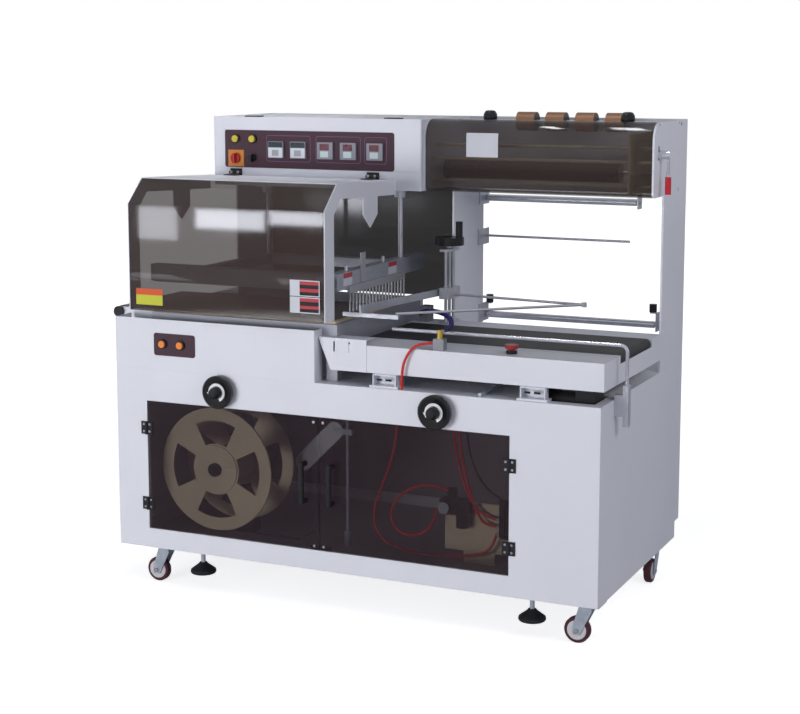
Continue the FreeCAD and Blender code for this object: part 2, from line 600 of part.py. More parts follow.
# Seal housing: the folded box at the upper left, open on top over the jaw, with the button plate.
def build_seal_housing():
    wide, deep, lip = "housing_width", "cabinet_depth", "housing_return"
    plan = [("0", "0"), (wide, "0"), (wide, lip), (less(wide, "skin"), lip), (less(wide, "skin"), "skin"),
            ("skin", "skin"), ("skin", less(deep, "skin")), (less(wide, "skin"), less(deep, "skin")),
            (less(wide, "skin"), less(deep, lip)), (wide, less(deep, lip)), (wide, deep), ("0", deep)]
    walls = profile("housing_walls", "z", ("cabinet_top", "housing_top"), [plan])
    cover = block("housing_cover", ("skin", less(wide, "skin")), ("housing_cover_front", less(deep, "skin")),
                  ("housing_top - skin", "housing_top"))
    spots = [("orange_button_left", BUTTON_ROW), ("orange_button_right", BUTTON_ROW)]
    holes = [rod("housing_hole_%d" % n, "y", "button_stem + fit_gap", ("-10", "20"), x, z) for n, (x, z) in enumerate(spots)]
    holes.append(block("housing_gap", ("-1", "skin + 1"), ("outfeed_front - end_disc_width - 3", "outfeed_back + 6"),
                       ("outfeed_axis + roller_radius - outfeed_plate_height - 3", "housing_top + 1")))
    shell = cut("housing_shell", walls, holes)
    low, high = "cabinet_top + button_plate_low", "cabinet_top + button_plate_high"
    plate = profile("button_plate", "y", ("-plate_thickness", "0"),
                    [rectangle("button_plate_left", "button_plate_right", low, high)],
                    [(x, z, "button_stem + fit_gap") for x, z in spots])
    corners = [(x, z) for x in ("button_plate_left", "button_plate_right") for z in (low, high)]
    round_corners(plate, "y", corners, "button_plate_round")
    rings = [bezel("orange_bezel_%d" % n, x, z, "-plate_thickness") for n, (x, z) in enumerate(spots)]
    node("seal_housing", group("seal_housing_group", [shell, cover, plate] + rings))
    push_button("orange_button_left", spots[0][0], BUTTON_ROW, "-plate_thickness")
    push_button("orange_button_right", spots[1][0], BUTTON_ROW, "-plate_thickness")


BUTTON_ROW = "cabinet_top + orange_button_height"


def l_plan(left, right, front, back, width):
    """The plan of an L-shaped bar: one arm along the front and one along the right side."""
    return [(left, front), (right, front), (right, back), (less(right, width), back),
            (less(right, width), plus(front, width)), (left, plus(front, width))]


# Lower jaw: an L-shaped beam on three stands, with a soft strip that the upper jaw closes on.
def build_lower_jaw():
    beam = profile("lower_beam", "z", ("lower_jaw_low", "lower_jaw_top"),
                   [l_plan("jaw_left", "jaw_right", "jaw_front", "jaw_back", "jaw_width")])
    arm_x = ("jaw_right - jaw_width", "jaw_right")
    arm_y = ("jaw_front", "jaw_front + jaw_width")
    stand_z = ("cabinet_top", "lower_jaw_low")
    stands = [
        block("stand_left", ("jaw_left", "jaw_left + jaw_width"), arm_y, stand_z),
        block("stand_corner", arm_x, arm_y, stand_z),
        block("stand_back", arm_x, ("jaw_back - jaw_width", "jaw_back"), stand_z),
    ]
    side = "(jaw_width - strip_width) / 2"
    strip = profile("seal_strip", "z", ("lower_jaw_top", "seal_line"),
                    [l_plan("jaw_left", less("jaw_right", side), plus("jaw_front", side), "jaw_back", "strip_width")])
    node("lower_jaw", group("lower_jaw_group", [fuse("lower_jaw_beam", [beam] + stands), strip]))


# Outfeed conveyor: side plates, slider bed, nose bar and two cross channels with their legs.
def build_outfeed():
    left = "outfeed_roller - 10"
    right = "outfeed_right + roller_radius"
    low = "outfeed_axis + roller_radius - outfeed_plate_height"
    high = "outfeed_axis + roller_radius - bed_gap + belt_gap"
    plates = []
    for name, y in (("front", ("outfeed_front", "outfeed_front + outfeed_plate")),
                    ("back", ("outfeed_back - outfeed_plate", "outfeed_back"))):
        blank = block("outfeed_%s_blank" % name, (left, right), y, (low, high))
        bore = rod("outfeed_%s_bore" % name, "y", "axle_radius + fit_gap", (less(y[0], "1"), plus(y[1], "1")),
                   "outfeed_roller", "outfeed_axis")
        plates.append(cut("outfeed_%s_plate" % name, blank, [bore]))
    inside = ("outfeed_front + outfeed_plate", "outfeed_back - outfeed_plate")
    bed = block("outfeed_bed", ("outfeed_roller + roller_radius + 10", "outfeed_right - roller_radius - 4"), inside,
                (less(high, "bed_thickness"), high))
    nose = rod("outfeed_nose", "y", "roller_radius", inside, "outfeed_right", "outfeed_axis")
    under = "outfeed_axis - roller_radius - belt_gap - belt_thickness - 3"
    parts = plates + [bed, nose]
    for name, start in (("left", less("deck_hole_left", "cross_width + 5")), ("right", "deck_hole_right + 2")):
        x = (start, plus(start, "cross_width"))
        parts.append(block("outfeed_cross_" + name, x, inside, (low, under)))
        for side, y in (("front", (inside[0], plus(inside[0], "cross_width"))), ("back", (less(inside[1], "cross_width"), inside[1]))):
            parts.append(block("outfeed_leg_%s_%s" % (name, side), x, y, ("cabinet_top", low)))
    node("outfeed_frame", fuse("outfeed_frame_body", parts))
    drum = rod("outfeed_drum", "y", "roller_radius", (plus(inside[0], "1"), less(inside[1], "1")), "outfeed_roller", "outfeed_axis")
    axle = rod("outfeed_axle", "y", "axle_radius", ("outfeed_front - end_disc_width - 1", "outfeed_back + 3"), "outfeed_roller", "outfeed_axis")
    disc = rod("outfeed_disc", "y", "end_disc_radius", ("outfeed_front - end_disc_width - 1", "outfeed_front - 1"), "outfeed_roller", "outfeed_axis")
    node("outfeed_roller", fuse("outfeed_roller_body", [drum, axle, disc]))


# Infeed conveyor: two channel rails, an end plate, cross bars, a slider bed and a nose bar, with
# the scale cover at its front left corner and the four brackets that it stands on.
def build_infeed():
    low, high = "infeed_low", "infeed_top"
    run = ("infeed_left", "cabinet_width - skin")

    def channel(front, back):
        return [(front, low), (front, high), (back, high), (back, low), (less(back, "skin"), low),
                (less(back, "skin"), less(high, "skin")), (plus(front, "skin"), less(high, "skin")), (plus(front, "skin"), low)]
    front = profile("front_channel", "x", run, [channel("infeed_front + skin", "belt_front")])
    back = profile("rear_channel", "x", run, [channel("belt_back", "infeed_back")])
    outline = [("infeed_front", low), ("infeed_back", low), ("infeed_back", high), ("belt_back", high),
               ("belt_back", less(high, "end_plate_dip")), ("belt_front", less(high, "end_plate_dip")),
               ("belt_front", high), ("infeed_front", high)]
    end = profile("infeed_end", "x", ("cabinet_width - skin", "cabinet_width"), [outline])
    inside = ("belt_front", "belt_back")
    under = "infeed_axis - roller_radius - belt_gap - belt_thickness - 3"
    bars = [block("cross_bar_left", ("infeed_left + 90", "infeed_left + 130"), inside, (less(under, "22"), under)),
            block("cross_bar_right", ("infeed_roller - 160", "infeed_roller - 120"), inside, (less(under, "22"), under))]
    bed_top = "infeed_axis + roller_radius - bed_gap + belt_gap"
    bed = block("infeed_bed", ("infeed_nose + roller_radius + 4", "infeed_roller - roller_radius - 4"), inside, (less(bed_top, "bed_thickness"), bed_top))
    nose = rod("infeed_nose_bar", "y", "roller_radius", inside, "infeed_nose", "infeed_axis")
    solid = fuse("infeed_solid", [front, back, bed, nose] + bars)
    bore = rod("infeed_bore", "y", "axle_radius + fit_gap", ("belt_front - 10", "belt_back + 10"), "infeed_roller", "infeed_axis")
    frame = cut("infeed_rails", solid, [bore])
    cover = build_scale_cover()
    pieces = [frame, end, cover]
    for side, x in (("left", "bracket_left"), ("right", "bracket_right")):
        for end_name, y in (("front", "bracket_front"), ("back", "infeed_back - bracket_depth - 8")):
            pieces.append(build_bracket("%s_%s" % (side, end_name), x, y))
    pieces.append(rod("drop_rod", "y", "drop_rod_radius", ("drop_rod_front", "drop_rod_back"), "drop_rod_place", "cabinet_top + drop_rod_radius + cap_gap"))
    node("infeed_frame", group("infeed_frame_group", pieces))
    drum = rod("infeed_drum", "y", "roller_radius", ("belt_front + 1", "belt_back - 1"), "infeed_roller", "infeed_axis")
    axle = rod("infeed_axle", "y", "axle_radius", ("belt_front - 8", "belt_back + 8"), "infeed_roller", "infeed_axis")
    node("infeed_roller", fuse("infeed_roller_body", [drum, axle]))


def build_scale_cover():
    top = "infeed_top + scale_rise"
    body = new_body("scale_sheet", MACHINE)
    front = [("housing_width + scale_foot", "infeed_low"), ("scale_right", "infeed_low"), ("scale_right", top), ("housing_width", top)]
    slots = []
    for place in ("scale_slot_left", "scale_slot_right"):
        slots.append(rectangle(less(place, "scale_slot_width / 2"), plus(place, "scale_slot_width / 2"),
                               less(top, "10 + scale_slot_height"), less(top, "10")))
    add_pad(body, "y", ("infeed_front", "infeed_front + skin"), [front] + slots)
    step_x, step_y = "jaw_right + 1", "jaw_front - 1"
    add_pad(body, "z", (less(top, "skin"), top), [[("housing_width", "infeed_front"), ("scale_right", "infeed_front"), ("scale_right", "infeed_front + scale_depth"),
                                                   (step_x, "infeed_front + scale_depth"), (step_x, step_y), ("housing_width", step_y)]])
    return body


def build_bracket(name, x, y):
    """A bracket of the infeed conveyor: a foot, a channel on it and a slot for its clamp screw."""
    half, foot = "bracket_width / 2", "bracket_base / 2"
    foot_z = ("cabinet_top", "cabinet_top + bracket_plate")
    base = block("foot_" + name, (less(x, foot), plus(x, foot)), (less(y, "5"), plus(y, "bracket_depth + 5")), foot_z)
    post = block("stand_" + name, (less(x, half), plus(x, half)), (y, plus(y, "bracket_depth")), ("cabinet_top + bracket_plate", "infeed_low"))
    core = block("core_" + name, (less(x, less(half, "3")), plus(x, less(half, "3"))), (less(y, "1"), less(plus(y, "bracket_depth"), "3")),
                 ("cabinet_top + bracket_plate", "infeed_low - 3"))
    return fuse("bracket_" + name, [base, cut("channel_" + name, post, [core])])


def build_conveyor_motor():
    plate = block("motor_plate", ("motor_left", "motor_right"), ("infeed_front + skin", "belt_front"), ("infeed_low - motor_plate", "infeed_low"))
    low = "infeed_low - motor_plate - motor_height"
    gears = block("gear_box", ("motor_left + 30", "motor_right"), ("motor_front", "motor_front + motor_depth"), (low, "infeed_low - motor_plate"))
    drum = rod("motor_can", "x", "motor_radius", ("motor_left + 30 - motor_length", "motor_left + 30"), "motor_front + motor_depth / 2", plus(low, "motor_height / 2"))
    node("conveyor_motor", fuse("conveyor_motor_body", [plate, gears, drum]))


# The two endless belts.
def build_belts():
    inner = "roller_radius + belt_gap"
    outfeed = belt("outfeed_belt", "outfeed_roller", "outfeed_right",
                   ("outfeed_front + outfeed_plate + belt_margin", "outfeed_back - outfeed_plate - belt_margin"), "outfeed_axis", inner)
    infeed = belt("infeed_belt", "infeed_nose", "infeed_roller", ("belt_front + belt_side_gap", "belt_back - belt_side_gap"), "infeed_axis", inner)
    node("conveyor_belts", group("conveyor_belts_group", [outfeed, infeed]))


# Posts: flat plates that stand on the deck, each with a turned rear edge that runs down behind the
# cabinet. The right one carries the side of the film housing as well.
def build_posts():
    back, front = "post_back", "post_front"


    def leg(seat):
        return [(front, seat), ("cabinet_depth", seat), ("cabinet_depth", "post_foot"), (back, "post_foot")]
    posts = []
    for name, seat, x, edge in (
            ("left", "housing_top", ("left_post", "left_post + post_plate"), ("left_post", "left_post + post_flange")),
            ("middle", "cabinet_top", ("middle_post - post_plate", "middle_post"), ("middle_post - post_flange", "middle_post"))):
        web = profile(name + "_web", "x", x, [leg(seat) + [(back, "head_low"), (front, "head_low")]])
        turned_edge = block(name + "_edge", edge, ("post_back - post_plate", "post_back"), ("post_foot", "head_low"))
        posts.append(fuse(name + "_post_body", [web, turned_edge]))
    node("inner_posts", group("inner_posts_group", posts))
    head = leg("cabinet_top") + [(back, "head_top"), ("film_front", "head_top"), ("film_front", "head_low"), (front, "head_low")]
    web = profile("right_web", "x", ("cabinet_width - post_plate", "cabinet_width"), [head],
                  [("lever_depth", "lever_height", "spindle_radius + fit_gap"),
                   ("feed_depth", "head_low + feed_height", "film_axle + fit_gap"),
                   ("support_depth", "head_top - support_drop", "film_axle + fit_gap")])
    round_corners(web, "x", [("film_front", "head_top")], "film_top_round")
    round_corners(web, "x", [("film_front", "head_low")], "film_bottom_round")
    edge = block("right_edge", ("cabinet_width - post_flange", "cabinet_width"), ("post_back - post_plate", "post_back"), ("post_foot", "head_low"))
    node("right_post", fuse("right_post_body", [web, edge]))


# Control box with the two jaw cylinders in its floor, its hood with the control panel, and the
# switches on the panel.
def build_control_box():
    x = ("left_post", "control_right")
    y = ("control_front", "post_back")
    outer = block("control_outer", x, y, ("head_low", "head_top"))
    inner = block("control_inner", ("left_post + skin", "control_right - skin"), ("control_front + skin", "post_back - skin"), ("head_low + skin", "head_top - skin"))
    mouth = block("control_mouth", ("left_post + skin", "control_right - skin"), ("control_front - 1", "control_front + hood_depth"),
                  ("head_low + hood_low", "head_top + 1"))
    places = ("jaw_rod_left", "jaw_rod_right")
    holes = [rod("cylinder_hole_%d" % n, "z", "cylinder_radius", ("head_low - 1", "head_low + 10"), place, "jaw_rod_depth") for n, place in enumerate(places)]
    shell = cut("control_shell", outer, [inner, mouth] + holes)
    cylinders = []
    for n, place in enumerate(places):
        can = rod("cylinder_can_%d" % n, "z", "cylinder_radius", ("head_low - cylinder_drop", "cylinder_top"), place, "jaw_rod_depth")
        flange = block("cylinder_flange_%d" % n, (less(place, "28"), plus(place, "28")), ("jaw_rod_depth - 28", "jaw_rod_depth + 28"), ("head_low - 8", "head_low"))
        bore = rod("cylinder_bore_%d" % n, "z", "jaw_rod + fit_gap", ("head_low - cylinder_drop - 1", "cylinder_top - 6"), place, "jaw_rod_depth")
        cylinders.append(cut("jaw_cylinder_%d" % n, fuse("cylinder_%d" % n, [can, flange]), [bore]))
    node("control_box", group("control_box_group", [shell] + cylinders))
    build_control_hood()


def build_control_hood():
    face = "control_front"
    gap = "0.5"
    low, high = "head_low + hood_low + %s" % gap, "head_top"
    back = "control_front + hood_depth - %s" % gap
    section = [(face, low), (plus(face, "skin"), low), (plus(face, "skin"), less(high, "skin")),
               (back, less(high, "skin")), (back, high), (face, high)]
    folded = profile("hood_sheet", "x", ("left_post + skin + %s" % gap, "control_right - skin - %s" % gap), [section])
    spots = [("yellow_button_left", YELLOW_ROW), ("yellow_button_right", YELLOW_ROW), (SWITCH_X, SWITCH_Z), ("selector_place", SELECTOR_Z)]
    holes = [rod("hood_hole_%d" % n, "y", "button_stem + fit_gap", ("control_front - 10", "control_front + 20"), a, b) for n, (a, b) in enumerate(spots)]
    sheet_part = cut("hood_cut", folded, holes)
    panel_face = "control_front - panel_thickness"
    z = ("head_low + panel_low", "head_low + panel_high")
    plate = profile("panel_plate", "y", (panel_face, "control_front"), [rectangle("panel_left", "panel_right", *z)],
                    [(a, b, "button_stem + fit_gap") for a, b in spots])
    round_corners(plate, "y", [(a, b) for a in ("panel_left", "panel_right") for b in z], "panel_round")
    pieces = [sheet_part, plate]
    for number in range(1, 6):
        left = "meter_%d" % number
        low_z = "head_low + meter_low"
        pieces.append(block("meter_case_%d" % number, (left, plus(left, "meter_width")), (less(panel_face, "meter_depth"), panel_face),
                            (low_z, plus(low_z, "meter_height"))))
    square = profile("switch_square", "y", (less(panel_face, "2"), panel_face),
                     [rectangle("switch_plate_left", "switch_plate_left + switch_plate_width", "head_low + switch_plate_low",
                                "head_low + switch_plate_low + switch_plate_height")],
                     [(SWITCH_X, SWITCH_Z, "button_stem + fit_gap")])
    pieces.append(square)
    pieces += [bezel("yellow_bezel_%d" % n, a, b, panel_face) for n, (a, b) in enumerate(spots[:2])]
    node("control_hood", group("control_hood_group", pieces))
    push_button("yellow_button_left", "yellow_button_left", YELLOW_ROW, panel_face)
    push_button("yellow_button_right", "yellow_button_right", YELLOW_ROW, panel_face)
    build_rotary("main_switch", SWITCH_X, SWITCH_Z, "switch_knob", less(panel_face, "2"))
    build_rotary("selector_switch", "selector_place", SELECTOR_Z, "selector_knob", panel_face)


YELLOW_ROW = "head_low + yellow_button_height"
SWITCH_X = "switch_plate_left + switch_plate_width / 2"
SWITCH_Z = "head_low + switch_plate_low + switch_plate_height / 2"
SELECTOR_Z = "head_low + selector_height"


def build_rotary(name, x, z, radius, face):
    """A rotary switch: a disc, a bar to grip and a stem through the panel."""
    near = less(face, "cap_gap")
    disc = rod(name + "_disc", "y", radius, (less(near, "8"), near), x, z)
    bar = block(name + "_bar", (less(x, "knob_bar / 2"), plus(x, "knob_bar / 2")), (less(near, "knob_depth"), less(near, "8")),
                (less(z, radius), plus(z, radius)))
    stem = rod(name + "_stem", "y", "button_stem", (near, "control_front + 10"), x, z)
    return node(name, fuse(name + "_body", [disc, bar, stem]))


# Guard: a folded white frame with pointed tabs, and the smoked shield between its two sides.
def build_guard():
    front, leg = "-guard_front", "guard_leg - guard_front"
    top_front = "guard_corner - guard_front"
    inner_bend = "guard_fold - 14"
    inner_top = "guard_top - guard_beam"
    slope = "guard_slope / (guard_back - (%s))" % top_front

    def top(y, drop="0"):
        return "guard_top - (%s) * (%s) - (%s)" % (less(y, top_front), slope, drop)
    inner_front = plus(leg, "guard_beam")
    middle = "(tab_front + tab_back) / 2"
    side = [(front, "guard_bottom"), (leg, "guard_bottom"), (leg, inner_bend), (inner_front, inner_top),
            ("tab_front", top("tab_front", "guard_beam")), ("tab_front", top("tab_front", "guard_beam + tab_drop")),
            (middle, top(middle, "guard_beam + tab_point")), ("tab_back", top("tab_back", "guard_beam + tab_drop")),
            ("tab_back", top("tab_back", "guard_beam")), ("guard_back", top("guard_back", "guard_beam")),
            ("guard_back", top("guard_back")), (top_front, "guard_top"), (front, "guard_fold")]
    sides = [profile("guard_%s_side" % name, "x", x, [side])
             for name, x in (("left", ("guard_left", "guard_left + guard_sheet")), ("right", ("guard_right - guard_sheet", "guard_right")))]
    inside = ("guard_left + guard_sheet", "guard_right - guard_sheet")
    roof = profile("guard_roof", "x", inside, [[(top_front, "guard_top"), (top_front, "guard_top - guard_sheet"),
                                               ("guard_back", top("guard_back", "guard_sheet")), ("guard_back", top("guard_back"))]])
    parts = sides + [roof]
    for name, start in HINGE_PLACES:
        third = "guard_hinge_width / 3"
        leaf = block("guard_leaf_%s" % name, (start, plus(start, "guard_hinge_width")), ("guard_axis_depth - 40", "guard_axis_depth - guard_knuckle - 1"),
                     (top("guard_back", "1"), top("guard_axis_depth - 40", "-3")))
        tongue = block("guard_tongue_%s" % name, (plus(start, plus(third, "0.3")), plus(start, less("2 * " + third, "0.3"))),
                       ("guard_axis_depth - guard_knuckle - 2", "guard_axis_depth"), (top("guard_back", "1"), "guard_axis_height"))
        knuckle = rod("guard_knuckle_%s" % name, "x", "guard_knuckle", (plus(start, plus(third, "0.3")), plus(start, less("2 * " + third, "0.3"))),
                      "guard_axis_depth", "guard_axis_height")
        bore = rod("guard_bore_%s" % name, "x", "hinge_pin + fit_gap", (start, plus(start, "guard_hinge_width")), "guard_axis_depth", "guard_axis_height")
        parts.append(cut("guard_hinge_%s" % name, fuse("guard_hinge_solid_%s" % name, [leaf, tongue, knuckle]), [bore]))
    node("guard_frame", fuse("guard_frame_body", parts))
    thick = "shield_thickness"
    shield = [(front, "guard_bottom"), (plus(front, thick), "guard_bottom"), (plus(front, thick), less("guard_fold", "2")),
              (top_front, "guard_top - guard_sheet - shield_thickness - 1"), (top_front, "guard_top - guard_sheet"), (less(top_front, "2"), "guard_top - 2"), (front, "guard_fold")]
    node("guard_shield", profile("guard_shield_body", "x", (plus(inside[0], "0.2"), less(inside[1], "0.2")), [shield]))


HINGE_PLACES = (("left", "guard_hinge_left"), ("right", "guard_hinge_right"))


# Fixed halves of the hinges of the guard and the doors, with their pins, and the door catches.
def build_hinges():
    pieces = []
    for name, start in HINGE_PLACES:
        third = "guard_hinge_width / 3"
        leaf = block("fixed_leaf_%s" % name, (start, plus(start, "guard_hinge_width")), ("control_front - 3", "control_front"),
                     ("guard_axis_height - 10", "guard_axis_height + 12"))
        parts = [leaf]
        for end, x in (("a", (start, plus(start, third))), ("b", (plus(start, "2 * " + third), plus(start, "guard_hinge_width")))):
            parts.append(block("fixed_arm_%s_%s" % (name, end), x, ("guard_axis_depth", "control_front - 2"),
                               ("guard_axis_height - 3", "guard_axis_height + 3")))
            parts.append(rod("fixed_knuckle_%s_%s" % (name, end), "x", "guard_knuckle", x, "guard_axis_depth", "guard_axis_height"))
        parts.append(rod("fixed_pin_%s" % name, "x", "hinge_pin", (start, plus(start, "guard_hinge_width")), "guard_axis_depth", "guard_axis_height"))
        pieces.append(fuse("fixed_hinge_%s" % name, parts))
    for side, edge, outward in DOOR_SIDES:
        for level in ("low", "high"):
            pieces.append(door_hinge("fixed_%s_%s" % (side, level), edge, "floor_gap + hinge_" + level, outward, fixed=True))
    for level, z in (("low", ("window_bottom", "window_bottom + catch_height")), ("high", ("window_top - catch_height", "window_top"))):
        for side, x in (("left", ("door_split - 5 - catch_length", "door_split - 5")), ("right", ("door_split + 5", "door_split + 5 + catch_length"))):
            back = "door_proud + door_thickness + 0.3"
            pieces.append(block("catch_%s_%s" % (level, side), x, (back, "skin + window_return"), z))
    node("hinge_set", group("hinge_set_group", pieces))


DOOR_SIDES = (("left", "window_left", 1), ("right", "window_right", -1))


def door_hinge(name, edge, middle, inward, fixed):
    """Half of a door hinge: the fixed half has the outer knuckles and the pin, the other the inner one."""
    axis_y = "-hinge_knuckle"
    low, high = less(middle, "hinge_height / 2"), plus(middle, "hinge_height / 2")
    third = "hinge_height / 3"
    outer = [(low, plus(low, third)), (less(high, third), high)]
    inner = [(plus(low, plus(third, "0.3")), less(high, plus(third, "0.3")))]

    def across(start, end):
        ends = ["%s + (%d) * (%s)" % (edge, inward, item) for item in (start, end)]
        return tuple(ends) if inward > 0 else tuple(reversed(ends))
    if fixed:
        leaf = block(name + "_leaf", across("-hinge_leaf - 1", "-1"), ("-hinge_plate", "0"), (low, high))
        swept = outer
        clear = inner
    else:
        leaf = block(name + "_leaf", across("1", "hinge_leaf"), ("door_proud - hinge_plate", "door_proud"), (low, high))
        swept = inner
        clear = outer
    gaps = [rod("%s_gap_%d" % (name, n), "z", "hinge_knuckle + 0.3", (less(z[0], "0.3"), plus(z[1], "0.3")), edge, axis_y) for n, z in enumerate(clear)]
    parts = [cut(name + "_plate", leaf, gaps)]
    parts += [rod("%s_knuckle_%d" % (name, n), "z", "hinge_knuckle", z, edge, axis_y) for n, z in enumerate(swept)]
    if fixed:
        parts.append(rod(name + "_pin", "z", "hinge_pin", (low, high), edge, axis_y))
        return fuse(name, parts)
    bore = rod(name + "_bore", "z", "hinge_pin + fit_gap", (low, high), edge, axis_y)
    return cut(name, fuse(name + "_solid", parts), [bore])


# Doors: smoked sheets with their hinge halves and a black bow handle each.
def build_doors():
    for side, edge, inward in DOOR_SIDES:
        outer = "%s + (%d) * door_gap" % (edge, inward)
        split = "door_split - (%d) * door_gap" % inward
        x = (outer, split) if inward > 0 else (split, outer)
        sheet_part = block(side + "_door_sheet", x, ("door_proud", "door_proud + door_thickness"), ("window_bottom + door_gap", "window_top - door_gap"))
        leaves = [door_hinge("moving_%s_%s" % (side, level), edge, "floor_gap + hinge_" + level, inward, fixed=False) for level in ("low", "high")]
        handle_x = "door_split - (%d) * handle_inset" % inward
        ends = [("low", "handle_middle - handle_span / 2"), ("high", "handle_middle + handle_span / 2")]
        bar_y = "handle_radius - handle_reach"
        parts = [rod(side + "_grip", "z", "handle_radius", (ends[0][1], ends[1][1]), handle_x, bar_y)]
        for name, z in ends:
            parts.append(rod("%s_leg_%s" % (side, name), "y", "handle_radius", (bar_y, "door_proud"), handle_x, z))
            parts.append(ball("%s_bend_%s" % (side, name), "handle_radius", handle_x, bar_y, z))
        handle = fuse(side + "_handle", parts)
        node(side + "_door", group(side + "_door_group", [sheet_part, handle] + leaves))


# Upper jaw: the L-shaped sealing bar with its cross frame and rods, and the comb on its right side.
def build_upper_jaw():
    z = ("upper_jaw_low", "upper_jaw_top")
    bar = profile("upper_bar", "z", z, [l_plan("jaw_left", "jaw_right", "jaw_front", "upper_jaw_back", "jaw_width")])
    side = "(jaw_width - knife_width) / 2"
    knife = profile("knife", "z", ("upper_jaw_low - knife_height", "upper_jaw_low"),
                    [l_plan("jaw_left", less("jaw_right", side), plus("jaw_front", side), "jaw_back", "knife_width")])
    beam_z = ("upper_jaw_low + 10", "upper_jaw_top - 10")
    rear = block("rear_beam", ("jaw_rod_left", "jaw_right - jaw_width"), ("jaw_rod_depth - 18", "jaw_rod_depth + 18"), beam_z)
    left = block("left_beam", ("jaw_rod_left - 18", "jaw_rod_left + 18"), ("jaw_front + jaw_width", "jaw_rod_depth + 18"), beam_z)
    rods = [rod("jaw_rod_%d" % n, "z", "jaw_rod", ("upper_jaw_top - 12", "jaw_rod_top"), place, "jaw_rod_depth") for n, place in enumerate(("jaw_rod_left", "jaw_rod_right"))]
    studs = [rod("jaw_stud_%d" % n, "z", "5", ("upper_jaw_top", "upper_jaw_top + 17"), "jaw_right - jaw_width / 2", "jaw_front + %d" % place) for n, place in enumerate((96, 354))]
    block_part = block("sensor_block", ("jaw_right", "jaw_right + 3"), ("jaw_front + 155", "jaw_front + 187"), ("upper_jaw_low + 10", "upper_jaw_top + 48"))
    jaw = fuse("upper_jaw_body", [bar, knife, rear, left, block_part] + rods + studs)
    rail = block("comb_rail", ("jaw_right", "jaw_right + 4 + comb_thickness"), ("comb_front", "comb_back"), ("upper_jaw_low - comb_rail", "upper_jaw_low + 8"))
    fingers = []
    for n in range(18):
        y = "comb_front + 3 + %d * (comb_back - comb_front - 6 - finger_width) / 17" % n
        fingers.append(block("finger_%02d" % n, ("jaw_right + 4", "jaw_right + 4 + comb_thickness"), (y, plus(y, "finger_width")), ("comb_low", "upper_jaw_low - comb_rail + 1")))
    node("upper_jaw", group("upper_jaw_group", [jaw, fuse("film_comb", [rail] + fingers)]))


